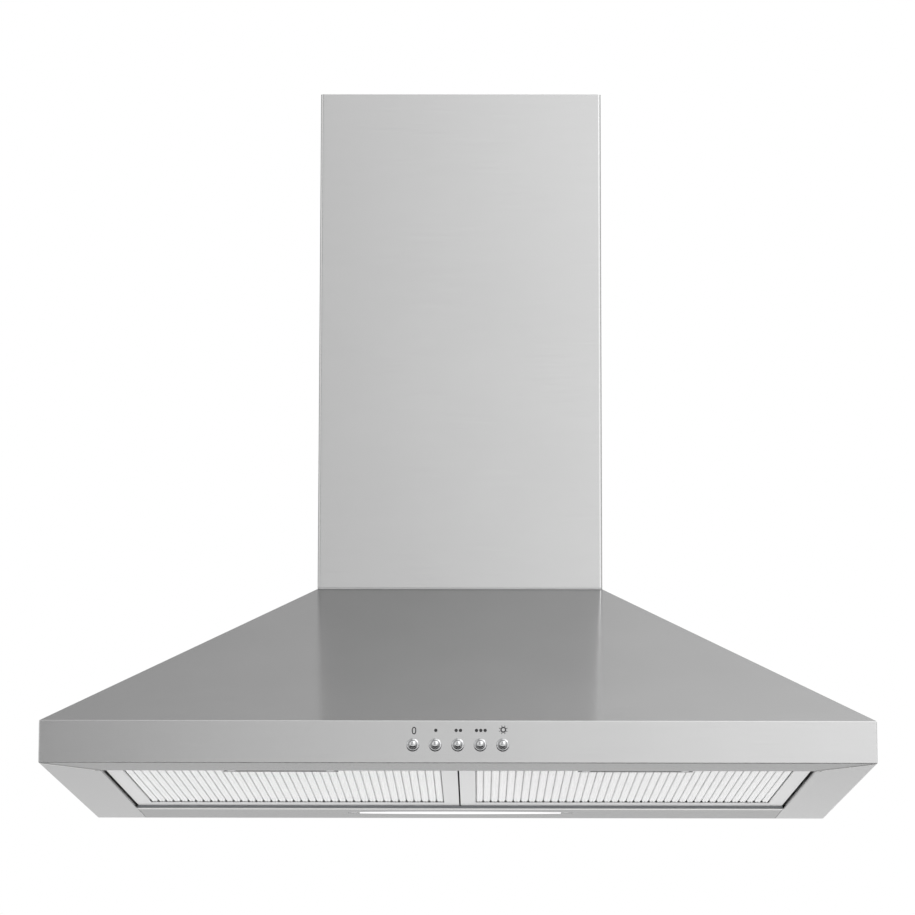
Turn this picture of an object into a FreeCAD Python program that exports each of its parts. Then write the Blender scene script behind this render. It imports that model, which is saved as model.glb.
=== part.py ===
"""Chimney range hood: a pyramid canopy with a two-piece chimney, built up piece by piece.

Millimetres. The origin is on the wall plane, on the hood's centre line, at the level of its underside.
+X is to the right for someone facing the hood, -Y points out of the wall into the room, +Z is up.
"""
import FreeCAD, Part
import math
import os

V = FreeCAD.Vector
X_AXIS, Y_AXIS, Z_AXIS = V(1, 0, 0), V(0, 1, 0), V(0, 0, 1)
BOTH_SIDES = (-1, 1)

# ---------------------------------------------------------------- driving dimensions
# Canopy
hood_width = 600.0
hood_depth = 490.0
skirt_height = 30.5
pyramid_rise = 135.0
canopy_sheet = 1.0
canopy_edge_radius = 0.8
canopy_return_width = 15.0
collar_height = 20.0

# Chimney covers
chimney_width = 225.0
chimney_depth = 190.0
chimney_height = 401.5
chimney_sheet = 1.0
chimney_fold_radius = 2.0
chimney_return_width = 12.0
chimney_seam_height = 1.0
chimney_seam_depth = 0.6
collar_clearance = 0.4
upper_cover_clearance = 0.5
upper_cover_top_drop = 2.0
upper_cover_lift_off = 2.5
vent_slot_length = 70.0
vent_slot_height = 4.0
vent_slot_pitch = 11.0
vent_slot_count = 6
vent_slot_from_top = 40.0

# Wall bracket of the upper cover
bracket_sheet = 1.5
bracket_height = 25.0
bracket_from_top = 6.0
bracket_arm_length = 40.0
bracket_hole_radius = 3.0
bracket_hole_spacing = 140.0

# Underside flanges
front_flange_depth = 59.0
side_flange_width = 40.0
flange_sheet = 1.0
flange_lip_height = 8.0
flange_weld_strip_height = 12.0

# Back panel
panel_sheet = 1.2
panel_edge_clearance = 0.2
tongue_half_width = 97.0
tongue_top = 440.0
wall_hole_radius = 4.0
wall_hole_spacing_x = 280.0
wall_hole_spacing_z = 50.0
wall_hole_mid_height = 85.0

# Light panel and lamp
light_panel_depth = 99.0
light_panel_sheet = 1.0
light_panel_end_clearance = 0.4
light_panel_upstand = 14.0
light_panel_screw_share = 0.6
ledge_depth = 12.0
lens_length = 164.0
lens_end_width = 14.0
lens_mid_width = 25.0
lens_thickness = 2.0
lens_tab_length = 9.0
lens_tab_width = 8.0
lens_tab_thickness = 1.0
lens_clearance = 0.3
lens_wall_distance = 53.0
lens_screw_radius = 1.25
lens_screw_head_radius = 2.2
lens_screw_head = 0.8
lamp_tray_length = 200.0
lamp_tray_width = 44.0
lamp_tray_height = 18.0
lamp_tray_sheet = 0.8
led_board_length = 156.0
led_board_width = 12.0
led_board_thickness = 1.6
led_count = 12
led_size = 3.0
led_height = 0.8

# Grease filters and their latches
filter_recess = 2.2
filter_thickness = 9.0
filter_sheet = 0.7
filter_side_border = 12.0
filter_front_border = 18.0
filter_rear_border = 36.0
filter_side_gap = 1.5
filter_middle_gap = 1.2
filter_front_gap = 1.2
filter_ledge_overlap = 10.4
mesh_tuck = 5.0
mesh_sheet = 0.5
mesh_pitch = 6.0
mesh_crest = 3.0
mesh_ridge = 0.6
mesh_dimple_rise = 0.45
mesh_shoulder = 1.0
mesh_shoulder_rise = 0.8
mesh_groove_floor = 0.3
mesh_clearance = 0.1
latch_width = 84.0
latch_depth = 14.0
latch_sheet = 1.0
latch_travel = 5.0
latch_front_gap = 0.4
latch_lip_drop = 0.9
latch_lip_width = 2.0
latch_tab_width = 10.0
latch_tab_height = 5.0
latch_tab_setback = 1.6
nose_width = 60.0
nose_bite = 4.0
nose_thickness = 0.6
guide_rivet_radius = 1.5
guide_rivet_head_radius = 3.0
guide_rivet_head = 0.7
guide_rivet_tail_radius = 2.25
guide_rivet_spacing = 72.0
latch_slot_clearance = 0.2
latch_spring_radius = 1.9
latch_spring_wire = 0.6
latch_spring_travels = 1.6

# Push buttons and the switch bank
button_count = 5
button_pitch = 16.1
button_height_z = 13.1
button_radius = 3.0
button_proud = 5.5
button_tip_radius = 2.4
button_travel = 2.5
button_collar_radius = 4.2
button_collar_thickness = 1.5
button_stem_radius = 1.3
button_bore_clearance = 0.3
bezel_radius = 4.7
bezel_proud = 1.4
bezel_barrel_radius = 4.0
bezel_round = 1.1
switch_half_width = 44.0
switch_bottom = 4.0
switch_top = 23.0
switch_front_wall = 1.5
switch_chamber_depth = 11.5
switch_rear_wall = 5.0
switch_chamber_radius = 4.6
switch_board_thickness = 1.6
switch_board_inset = 1.0
switch_strap_sheet = 1.0
switch_strap_inset = 2.0
switch_strap_gap = 2.0
switch_strap_foot = 10.0
switch_screw_radius = 1.25
switch_screw_head_radius = 2.5
switch_screw_head = 1.5
switch_screw_from_end = 4.0
switch_screw_bite = 7.0
strap_window_half = 12.0

# Blower
blower_axis_wall_distance = 92.0
blower_axis_height = 262.0
blower_half_width = 62.0
scroll_radius = 84.0
outlet_half_depth = 62.0
outlet_top_height = 90.0
blower_wall = 2.0
inlet_radius = 55.0
lug_width = 24.0
lug_height = 16.0
lug_inset = 8.0
guard_radius = 64.0
guard_wire = 2.0
guard_ring_count = 3
guard_spokes = 6

# Drum impeller, shaft and motor
impeller_radius = 68.0
blade_depth = 12.0
blade_thickness = 1.0
blade_count = 30
blade_slant = 28.0
blade_chord = 10.0
drum_half_width = 50.0
drum_ring = 2.0
hub_disc_from_centre = 22.0
hub_radius = 9.0
hub_length = 20.0
shaft_radius = 3.0
shaft_running_gap = 0.05
shaft_end_play = 1.0
clip_radius = 7.0
clip_thickness = 1.2
motor_radius = 38.0
motor_front_from_centre = 8.0
motor_length = 62.0
motor_neck_radius = 20.0
shaft_reach_share = 0.8
bush_radius = 6.0
bush_length = 4.0
motor_arm_radius = 61.0
motor_arm_width = 14.0
motor_arm_count = 3
motor_bracket_sheet = 2.0
motor_bracket_hub_radius = 30.0
motor_screw_radius = 2.0
motor_screw_head_radius = 4.0
motor_screw_head = 2.0

# Duct spigot and the non-return flaps
spigot_radius = 60.0
spigot_wall = 1.5
spigot_height = 75.0
spigot_base_sheet = 2.0
spigot_base_margin = 2.0
flap_stop_height = 12.0
flap_stop_width = 4.5
flap_stop_sheet = 1.5
flap_sheet = 1.0
flap_seat_gap = 0.3
flap_edge_gap = 1.0
flap_split_gap = 0.4
flap_knuckle_radius = 2.5
flap_rod_radius = 1.5
flap_rod_gap = 0.05
flap_mid_knuckle_half = 12.0
flap_end_knuckle_from = 30.0
flap_end_knuckle_to = 48.0
flap_knuckle_notch_gap = 1.0

# Electrical pieces on the back panel
terminal_half_width = 45.0
terminal_bottom = 55.0
terminal_height = 50.0
terminal_depth = 34.0
terminal_wall = 2.0
terminal_lid_thickness = 2.0
terminal_block_half_width = 28.0
terminal_block_height = 16.0
terminal_block_depth = 14.0
terminal_poles = 5
gland_radius = 9.0
gland_bore_radius = 4.5
gland_length = 16.0
gland_flange_radius = 12.0
gland_flange = 3.0
gland_from_end = 20.0
capacitor_radius = 14.0
capacitor_length = 50.0
capacitor_gap = 14.0
capacitor_height_z = 78.0
capacitor_clip_sheet = 1.0
capacitor_clip_width = 12.0
capacitor_clip_foot = 12.0

# Small fasteners
rivet_radius = 1.6
rivet_head_radius = 3.2
rivet_head = 1.2
canopy_rivet_skirt_share = 0.6
canopy_rivet_slope_shares = (0.0, 0.35, 0.7)
cover_screw_radius = 1.6
cover_screw_head_radius = 3.5
cover_screw_head = 1.8
cover_screw_wall_distance = 20.0
panel_screw_radius = 1.6
panel_screw_length = 9.0
light_panel_screw_spacing = 200.0

# Internal leads
lead_radius = 2.5
lead_bend_share = 0.45
switch_lead_exit = 20.0
switch_lead_roof_points = ((60.0, 5.0), (130.0, 16.0), (200.0, 20.0), (260.0, 22.0))
lamp_lead_rise = 36.0
lamp_lead_run = 35.0

# ---------------------------------------------------------------- levels and edges worked out from them
half_width = hood_width / 2
front_y = -hood_depth
skirt_top = skirt_height
pyramid_top = skirt_top + pyramid_rise
chimney_top = pyramid_top + chimney_height
chimney_half = chimney_width / 2
chimney_front = -chimney_depth

skirt_inner_half = half_width - canopy_sheet
skirt_inner_front = front_y + canopy_sheet
side_slope = math.atan2(pyramid_rise, half_width - chimney_half)
front_slope = math.atan2(pyramid_rise, hood_depth - chimney_depth)
side_wall_run = canopy_sheet / math.sin(side_slope)
front_wall_run = canopy_sheet / math.sin(front_slope)

opening_half = half_width - side_flange_width
opening_front = front_y + front_flange_depth
light_panel_front = -light_panel_depth
filter_bottom = filter_recess
filter_top = filter_bottom + filter_thickness
filter_front = opening_front + filter_front_gap
filter_rear = light_panel_front + filter_ledge_overlap
filter_width = opening_half - filter_side_gap - filter_middle_gap / 2
filter_centre_x = filter_middle_gap / 2 + filter_width / 2
latch_top = filter_bottom
latch_bottom = latch_top - latch_sheet
latch_front = opening_front + latch_front_gap
latch_rear = latch_front + latch_depth
latch_tab_front = filter_front + latch_tab_setback

switch_front = skirt_inner_front
chamber_front = switch_front + switch_front_wall
chamber_rear = chamber_front + switch_chamber_depth
switch_rear = chamber_rear + switch_rear_wall
board_rear = switch_rear + switch_board_thickness
strap_rear = board_rear + switch_strap_sheet
strap_half = switch_half_width + switch_strap_gap

blower_y = -blower_axis_wall_distance
blower_z = blower_axis_height
outlet_top = blower_z + outlet_top_height
blower_inner_half = blower_half_width - blower_wall
spigot_foot = outlet_top + spigot_base_sheet
spigot_top = spigot_foot + spigot_height
spigot_bore = spigot_radius - spigot_wall
flap_stop_top = spigot_foot + flap_stop_height
flap_bottom = flap_stop_top + flap_seat_gap
flap_axis_z = flap_bottom + flap_knuckle_radius
motor_bracket_x = blower_half_width + bush_length

upper_half = chimney_half - chimney_sheet - upper_cover_clearance
upper_front = chimney_front + chimney_sheet + upper_cover_clearance
upper_rear = -(chimney_sheet + upper_cover_clearance)
upper_bottom = pyramid_top + collar_height + upper_cover_lift_off
upper_top = chimney_top - upper_cover_top_drop
upper_inner_half = upper_half - chimney_sheet
bracket_top = upper_top - bracket_from_top
bracket_mid = bracket_top - bracket_height / 2


# ---------------------------------------------------------------- shape helpers
def block(x, y, z):
    """Box from three (low, high) pairs."""
    return Part.makeBox(x[1] - x[0], y[1] - y[0], z[1] - z[0], V(x[0], y[0], z[0]))


def rod_x(radius, x0, x1, y, z):
    return Part.makeCylinder(radius, x1 - x0, V(x0, y, z), X_AXIS)


def rod_y(radius, y0, y1, x, z):
    return Part.makeCylinder(radius, y1 - y0, V(x, y0, z), Y_AXIS)


def rod_z(radius, z0, z1, x, y):
    return Part.makeCylinder(radius, z1 - z0, V(x, y, z0), Z_AXIS)


def plate_xz(points, y0, y1):
    """Flat plate with the outline points (x, z), from y0 to y1."""
    corners = [V(x, y0, z) for x, z in points]
    face = Part.Face(Part.makePolygon(corners + corners[:1]))
    return face.extrude(V(0, y1 - y0, 0))


def offset_line(points, distance):
    """The open line of points (x, z) moved sideways by distance, to the left of its run, with mitred corners."""
    normals = []
    for (x0, z0), (x1, z1) in zip(points, points[1:]):
        length = math.hypot(x1 - x0, z1 - z0)
        normals.append(((z0 - z1) / length, (x1 - x0) / length))
    moved = []
    for (x, z), before, after in zip(points, normals[:1] + normals, normals + normals[-1:]):
        share = distance / (1 + before[0] * after[0] + before[1] * after[1])
        moved.append((x + share * (before[0] + after[0]), z + share * (before[1] + after[1])))
    return moved


def folded_block(half, front, rear, levels, radius):
    """Box of width 2 * half whose two upright front edges are rounded like folded sheet."""
    body = block((-half, half), (front, rear), levels)
    folds = [edge for edge in body.Edges if edge.BoundBox.YMax < front + 1 and edge.BoundBox.ZLength > 0.1]
    return body.makeFillet(radius, folds)


def join(shapes):
    shapes = list(shapes)
    whole = shapes[0]
    if len(shapes) > 1:
        whole = whole.fuse(shapes[1:])
    return whole.removeSplitter()


def group(shapes):
    return Part.makeCompound(list(shapes))


def mirrored(shape):
    return shape.mirror(V(0, 0, 0), X_AXIS)


def save(name, shape):
    for number, solid in enumerate(shape.Solids):
        if not solid.isValid() or solid.Volume <= 0:
            print("not valid:", name, number)
    kept = shape.Solids[0] if len(shape.Solids) == 1 else group(shape.Solids)
    kept.exportStep("parts/" + name + ".step")
    box = shape.BoundBox
    print(f"{name}: {len(shape.Solids)} solid(s), {shape.Volume / 1000:.2f} cm3, "
          f"x {box.XMin:.1f}..{box.XMax:.1f} y {box.YMin:.1f}..{box.YMax:.1f} z {box.ZMin:.1f}..{box.ZMax:.1f}")


# ---------------------------------------------------------------- canopy
def frustum(low_half, low_front, low_z, high_half, high_front, high_z):
    """Solid with a rectangular foot and head, flat faces, and its back on the wall plane."""
    foot, head = ([V(-half, front, z), V(half, front, z), V(half, 0, z), V(-half, 0, z)]
                  for half, front, z in ((low_half, low_front, low_z), (high_half, high_front, high_z)))
    rings = [foot, head]
    for number in range(4):
        after = (number + 1) % 4
        rings.append([foot[number], foot[after], head[after], head[number]])
    faces = [Part.Face(Part.makePolygon(ring + ring[:1])) for ring in rings]
    solid = Part.Solid(Part.Shell(faces))
    return solid if solid.Volume > 0 else solid.reversed()


def inner_half_at(z):
    """Half width inside the canopy's sloping sides at height z."""
    sloped = half_width - side_wall_run - (z - skirt_top) / math.tan(side_slope)
    return min(skirt_inner_half, sloped)


def inner_front_at(z):
    """Inside face of the canopy's sloping front at height z."""
    sloped = front_y + front_wall_run + (z - skirt_top) / math.tan(front_slope)
    return max(skirt_inner_front, sloped)


def canopy_inside():
    """The hollow of the canopy: the skirt's box, cut by the inner faces of the slopes."""
    low_half = half_width - side_wall_run + skirt_top / math.tan(side_slope)
    low_front = front_y + front_wall_run - skirt_top / math.tan(front_slope)
    tent = frustum(low_half, low_front, 0, inner_half_at(pyramid_top), inner_front_at(pyramid_top), pyramid_top)
    room = block((-skirt_inner_half, skirt_inner_half), (skirt_inner_front, 0), (0, pyramid_top))
    return tent.common(room)


def panel_outline(inset, bottom):
    """Outline (x, z) of the canopy's open back, drawn in by inset along the edges."""
    bend_z = skirt_top - canopy_sheet * math.tan(side_slope / 2)
    low_half = skirt_inner_half - inset
    slope_inset = inset / math.sin(side_slope)
    top_half = inner_half_at(pyramid_top) - slope_inset
    low_z = skirt_top + (half_width - side_wall_run - slope_inset - low_half) * math.tan(side_slope)
    low_z = min(low_z, bend_z)
    return [(-low_half, bottom), (low_half, bottom), (low_half, low_z), (top_half, pyramid_top),
            (-top_half, pyramid_top), (-low_half, low_z)]


def canopy_rivet_places():
    """Places (x, z) of the rivets along the canopy's rear return."""
    middle = canopy_return_width / 2
    places = []
    for share in canopy_rivet_slope_shares:
        z = skirt_top * canopy_rivet_skirt_share + share * (pyramid_top - skirt_top)
        x = inner_half_at(max(z, skirt_top)) - middle / math.sin(side_slope)
        places.append((min(x, skirt_inner_half - middle), z))
    return [(side * x, z) for x, z in places for side in BOTH_SIDES]


def canopy_shell():
    skirt = block((-half_width, half_width), (front_y, 0), (0, skirt_top))
    pyramid = frustum(half_width, front_y, skirt_top, chimney_half, chimney_front, pyramid_top)
    outside = skirt.fuse(pyramid).removeSplitter()
    folds = [edge for edge in outside.Edges
             if edge.BoundBox.YMin < -1 and edge.BoundBox.ZMin < pyramid_top - 1]
    shell = outside.makeFillet(canopy_edge_radius, folds).cut(canopy_inside())

    collar_half = chimney_half - chimney_sheet - collar_clearance
    collar_front = chimney_front + chimney_sheet + collar_clearance
    collar_rear = -(chimney_sheet + collar_clearance)
    collar = block((-collar_half, collar_half), (collar_front, collar_rear),
                   (pyramid_top - canopy_sheet, pyramid_top + collar_height))
    collar_hollow = block((-collar_half + canopy_sheet, collar_half - canopy_sheet),
                          (collar_front + canopy_sheet, 0), (0, pyramid_top + collar_height))
    collar = collar.cut(collar_hollow)

    rear = (-panel_sheet - canopy_sheet, -panel_sheet)
    back = plate_xz(panel_outline(0, flange_sheet), *rear)
    hole = plate_xz(panel_outline(canopy_return_width, 0), *rear)
    shell = shell.fuse([collar, back.cut(hole)])

    cutters = [rod_y(bezel_barrel_radius, front_y - 1, skirt_inner_front + 1, x, button_height_z)
               for x in button_places()]
    cutters += [rod_y(rivet_radius, rear[0] - 1, 0, x, z) for x, z in canopy_rivet_places()]
    cutters.append(cover_screw_shanks())
    shell = shell.cut(cutters)
    return shell.removeSplitter()


def back_panel():
    outline = panel_outline(panel_edge_clearance, 0)
    plate = plate_xz(outline, -panel_sheet, 0)
    tongue = block((-tongue_half_width, tongue_half_width), (-panel_sheet, 0),
                   (pyramid_top - canopy_return_width, tongue_top))
    plate = plate.fuse(tongue).removeSplitter()
    cutters = [rod_y(rivet_radius, -panel_sheet - 1, 1, x, z) for x, z in canopy_rivet_places()]
    for side in BOTH_SIDES:
        for level in BOTH_SIDES:
            x = side * wall_hole_spacing_x / 2
            z = wall_hole_mid_height + level * wall_hole_spacing_z / 2
            cutters.append(rod_y(wall_hole_radius, -panel_sheet - 1, 1, x, z))
    cutters += [rod_y(panel_screw_radius, -panel_sheet - 1, 1, x, z) for x, z in blower_screw_places()]
    cutters += [rod_y(panel_screw_radius, -panel_sheet - 1, 1, x, light_panel_screw_z())
                for x in light_panel_screw_places()]
    return plate.cut(cutters)


def canopy_rivets():
    rivets = []
    for x, z in canopy_rivet_places():
        face = -panel_sheet - canopy_sheet
        shank = rod_y(rivet_radius, face, 0, x, z)
        head = rod_y(rivet_head_radius, face - rivet_head, face, x, z)
        rivets.append(join([shank, head]))
    return group(rivets)


def underside_frame():
    """Flat flanges at the front and both sides, with lips round the filters and strips on the skirt."""
    rear = -panel_sheet
    sheet = (0, flange_sheet)
    flat = block((-skirt_inner_half, skirt_inner_half), (skirt_inner_front, rear), sheet)
    flat = flat.cut(block((-opening_half, opening_half), (opening_front, rear), (-1, flange_sheet + 1)))
    lip = (0, flange_lip_height)
    lip_half = opening_half + flange_sheet
    pieces = [flat, block((-lip_half, lip_half), (opening_front - flange_sheet, opening_front), lip)]
    strip = (0, flange_weld_strip_height)
    strip_rear = -(panel_sheet + 2 * canopy_sheet)
    pieces.append(block((-skirt_inner_half, skirt_inner_half),
                        (skirt_inner_front, skirt_inner_front + flange_sheet), strip))
    for side in BOTH_SIDES:
        inner = sorted((side * opening_half, side * lip_half))
        outer = sorted((side * skirt_inner_half, side * (skirt_inner_half - flange_sheet)))
        pieces.append(block(inner, (opening_front - flange_sheet, rear), lip))
        pieces.append(block(outer, (skirt_inner_front, strip_rear), strip))
    frame = join(pieces)
    strap_room = strap_half + switch_strap_foot + 1
    cutters = [block((-strap_room, strap_room), (skirt_inner_front - 1, skirt_inner_front + 2 * flange_sheet),
                     (flange_sheet, skirt_top))]
    notch_half = latch_width / 2 + 2
    for side in BOTH_SIDES:
        centre = side * filter_centre_x
        cutters.append(block((centre - notch_half, centre + notch_half),
                             (opening_front - 2 * flange_sheet, opening_front + 1),
                             (flange_sheet, flange_lip_height + 1)))
    return frame.cut(cutters).removeSplitter()


# ---------------------------------------------------------------- chimney
def three_sided_cover(half, front, rear, bottom, top):
    """Sheet cover with a front, two sides and a return along each rear edge."""
    outside = folded_block(half, front, rear, (bottom, top), chimney_fold_radius)
    hollow = folded_block(half - chimney_sheet, front + chimney_sheet, rear - chimney_sheet, (bottom - 1, top + 1),
                          chimney_fold_radius - chimney_sheet)
    gap_half = half - chimney_return_width
    gap = block((-gap_half, gap_half), (rear - 2 * chimney_sheet, rear + 1), (bottom - 1, top + 1))
    return outside.cut([hollow, gap])


def cover_screw_z():
    return pyramid_top + collar_height / 2


def cover_screw_shanks():
    """The pair of screw shanks through the lower cover's sides and the canopy's collar."""
    inner = chimney_half - chimney_sheet - collar_clearance - canopy_sheet
    y, z = -cover_screw_wall_distance, cover_screw_z()
    right = rod_x(cover_screw_radius, inner, chimney_half, y, z)
    return group([right, mirrored(right)])


def chimney_lower():
    cover = three_sided_cover(chimney_half, chimney_front, 0, pyramid_top, chimney_top)
    seam_half = chimney_half - chimney_seam_depth
    seam = (pyramid_top - 1, pyramid_top + chimney_seam_height)
    ring = block((-chimney_half - 1, chimney_half + 1), (chimney_front - 1, 1), seam)
    core = folded_block(seam_half, chimney_front + chimney_seam_depth, 1, seam,
                        chimney_fold_radius - chimney_seam_depth)
    return cover.cut([ring.cut(core), cover_screw_shanks()])


def chimney_screws():
    shanks = cover_screw_shanks().Solids
    y, z = -cover_screw_wall_distance, cover_screw_z()
    head = rod_x(cover_screw_head_radius, chimney_half, chimney_half + cover_screw_head, y, z)
    right = join([shanks[0], head])
    return group([right, mirrored(right)])


def upper_screw_shank():
    y = upper_rear - cover_screw_wall_distance
    return rod_x(cover_screw_radius, upper_inner_half - bracket_sheet, upper_half, y, bracket_mid)


def chimney_upper():
    cover = three_sided_cover(upper_half, upper_front, upper_rear, upper_bottom, upper_top)
    slot_mid = (upper_front + upper_rear) / 2
    slots = []
    for number in range(vent_slot_count):
        z = upper_top - vent_slot_from_top - number * vent_slot_pitch
        slots.append(block((-upper_half - 1, upper_half + 1),
                           (slot_mid - vent_slot_length / 2, slot_mid + vent_slot_length / 2),
                           (z - vent_slot_height / 2, z + vent_slot_height / 2)))
    shank = upper_screw_shank()
    return cover.cut(slots + [shank, mirrored(shank)])


def chimney_bracket():
    """Strap that is screwed to the wall and holds the top of the upper cover between its two arms."""
    levels = (bracket_top - bracket_height, bracket_top)
    strap_half_width = upper_half - chimney_return_width - 1.5 * bracket_sheet
    arm_front = upper_rear - chimney_sheet - bracket_arm_length
    step_rear = upper_rear - chimney_sheet
    pieces = [block((-strap_half_width, strap_half_width), (-bracket_sheet, 0), levels)]
    for side in BOTH_SIDES:
        riser = sorted((side * strap_half_width, side * (strap_half_width - bracket_sheet)))
        wing = sorted((side * (strap_half_width - bracket_sheet), side * upper_inner_half))
        arm = sorted((side * upper_inner_half, side * (upper_inner_half - bracket_sheet)))
        pieces.append(block(riser, (step_rear - bracket_sheet, 0), levels))
        pieces.append(block(wing, (step_rear - bracket_sheet, step_rear), levels))
        pieces.append(block(arm, (arm_front, step_rear), levels))
    bracket = join(pieces)
    shank = upper_screw_shank()
    cutters = [shank, mirrored(shank)]
    cutters += [rod_y(bracket_hole_radius, -2 * bracket_sheet, 1, side * bracket_hole_spacing / 2, bracket_mid)
                for side in BOTH_SIDES]
    return bracket.cut(cutters)


def bracket_screws():
    y = upper_rear - cover_screw_wall_distance
    inner = upper_inner_half - bracket_sheet
    head = rod_x(cover_screw_head_radius, inner - cover_screw_head, inner, y, bracket_mid)
    right = join([upper_screw_shank(), head])
    return group([right, mirrored(right)])


# ---------------------------------------------------------------- light panel and lamp
def lens_outline(grow):
    """Outline wire of the lens at z = 0: long, a little wider in the middle than at its ends."""
    half = lens_length / 2 + grow
    end = lens_end_width / 2 + grow
    middle = lens_mid_width / 2 + grow
    centre = V(0, -lens_wall_distance, 0)
    a, b = centre + V(-half, -end, 0), centre + V(half, -end, 0)
    c, d = centre + V(half, end, 0), centre + V(-half, end, 0)
    edges = [Part.Arc(a, centre + V(0, -middle, 0), b).toShape(), Part.makeLine(b, c),
             Part.Arc(c, centre + V(0, middle, 0), d).toShape(), Part.makeLine(d, a)]
    return Part.Wire(edges)


def lens_body(grow, bottom, top):
    wire = lens_outline(grow)
    wire.translate(V(0, 0, bottom))
    return Part.Face(wire).extrude(V(0, 0, top - bottom))


def lens_tabs(grow, bottom, top):
    reach = lens_length / 2 + lens_tab_length + grow
    half = lens_tab_width / 2 + grow
    return block((-reach, reach), (-lens_wall_distance - half, -lens_wall_distance + half), (bottom, top))


def lens_screw_places():
    x = lens_length / 2 + lens_tab_length / 2
    return [side * x for side in BOTH_SIDES]


def tab_bottom():
    return lens_thickness - lens_tab_thickness


def light_lens():
    lens = lens_body(0, 0, lens_thickness)
    lens = lens.fuse(lens_tabs(0, tab_bottom(), lens_thickness)).removeSplitter()
    cutters = [rod_z(lens_screw_radius, -1, lens_thickness + 1, x, -lens_wall_distance)
               for x in lens_screw_places()]
    return lens.cut(cutters)


def light_panel_screw_places():
    return [side * light_panel_screw_spacing / 2 for side in BOTH_SIDES]


def light_panel_screw_z():
    return light_panel_upstand * light_panel_screw_share


def light_panel():
    half = opening_half - light_panel_end_clearance
    sheet = light_panel_sheet
    rear = -panel_sheet
    front = light_panel_front
    ledge = (filter_recess - sheet, filter_recess)
    side_height = flange_lip_height
    pieces = [block((-half, half), (front, rear), (0, sheet)),
              block((-half, half), (front, front + sheet), (0, filter_recess)),
              block((-half, half), (front, front + ledge_depth), ledge),
              block((-half, half), (rear - sheet, rear), (0, light_panel_upstand))]
    for side in BOTH_SIDES:
        wall = sorted((side * half, side * (half - sheet)))
        pieces.append(block(wall, (front + ledge_depth, rear), (0, side_height)))
    panel = join(pieces)
    cutters = [lens_body(lens_clearance, -1, sheet + 1), lens_tabs(lens_clearance, -1, sheet + 1)]
    cutters += [rod_y(panel_screw_radius, rear - sheet - 1, rear + 1, x, light_panel_screw_z())
                for x in light_panel_screw_places()]
    return panel.cut(cutters)


def lamp_tray():
    """Reflector trough over the lens, open at the bottom, with a seat strip where the lens lies against it."""
    length, width = lamp_tray_length / 2, lamp_tray_width / 2
    bottom = light_panel_sheet
    y = -lens_wall_distance
    outside = block((-length, length), (y - width, y + width), (bottom, bottom + lamp_tray_height))
    inset = lamp_tray_sheet
    hollow = block((-length + inset, length - inset), (y - width + inset, y + width - inset),
                   (bottom - 1, bottom + lamp_tray_height - inset))
    tray = outside.cut(hollow)
    boss_top = bottom + lamp_tray_height - inset / 2
    bosses = [rod_z(2 * lens_screw_head_radius, lens_thickness, boss_top, x, y) for x in lens_screw_places()]
    tray = tray.fuse(bosses).removeSplitter()
    pilots = [rod_z(lens_screw_radius, 0, lens_thickness + lens_screw_bite(), x, y) for x in lens_screw_places()]
    return tray.cut(pilots)


def lens_screw_bite():
    return lamp_tray_height / 3


def lens_screws():
    screws = []
    for x in lens_screw_places():
        y = -lens_wall_distance
        head = rod_z(lens_screw_head_radius, tab_bottom() - lens_screw_head, tab_bottom(), x, y)
        shank = rod_z(lens_screw_radius, tab_bottom(), lens_thickness + lens_screw_bite(), x, y)
        screws.append(join([head, shank]))
    return group(screws)


def led_board():
    ceiling = light_panel_sheet + lamp_tray_height - lamp_tray_sheet
    half, width = led_board_length / 2, led_board_width / 2
    y = -lens_wall_distance
    bottom = ceiling - led_board_thickness
    board = block((-half, half), (y - width, y + width), (bottom, ceiling))
    step = led_board_length / led_count
    chips = []
    for number in range(led_count):
        x = -half + (number + 0.5) * step
        chips.append(block((x - led_size / 2, x + led_size / 2), (y - led_size / 2, y + led_size / 2),
                           (bottom - led_height, bottom)))
    return join([board] + chips)


# ---------------------------------------------------------------- grease filters
def window_sides():
    """The filter's window seen from below: (x low, x high), (y low, y high) about the filter's own centre."""
    half = filter_width / 2 - filter_side_border
    return (-half, half), (filter_front + filter_front_border, filter_rear - filter_rear_border)


def guide_rivet_xs():
    return [side * guide_rivet_spacing / 2 for side in BOTH_SIDES]


def guide_rivet_y():
    """The rivets stand at the rear ends of the pull plate's slots, clear of its finger lip."""
    return latch_rear - latch_lip_width - guide_rivet_head_radius - latch_slot_clearance


def spring_stop_front():
    return latch_tab_front + latch_sheet + latch_travel * latch_spring_travels


def filter_frame():
    half = filter_width / 2
    outside = block((-half, half), (filter_front, filter_rear), (filter_bottom, filter_top))
    inset = filter_sheet
    inside = block((-half + inset, half - inset), (filter_front + inset, filter_rear - inset),
                   (filter_bottom + inset, filter_top - inset))
    window_x, window_y = window_sides()
    window = block(window_x, window_y, (filter_bottom - 1, filter_top + 1))
    frame = outside.cut([inside, window])
    stop_front = spring_stop_front()
    stop = block((-latch_tab_width / 2, latch_tab_width / 2), (stop_front, stop_front + filter_sheet),
                 (filter_bottom + inset / 2, filter_top - inset / 2))
    frame = frame.fuse(stop).removeSplitter()
    clear = latch_slot_clearance
    slot = block((-latch_tab_width / 2 - clear, latch_tab_width / 2 + clear),
                 (latch_tab_front - clear, latch_tab_front + latch_sheet + latch_travel + clear),
                 (filter_bottom - 1, filter_bottom + 2 * inset))
    cutters = [slot]
    cutters += [rod_z(guide_rivet_radius, filter_bottom - 1, filter_bottom + 2 * inset, x, guide_rivet_y())
                for x in guide_rivet_xs()]
    return frame.cut(cutters)


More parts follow.
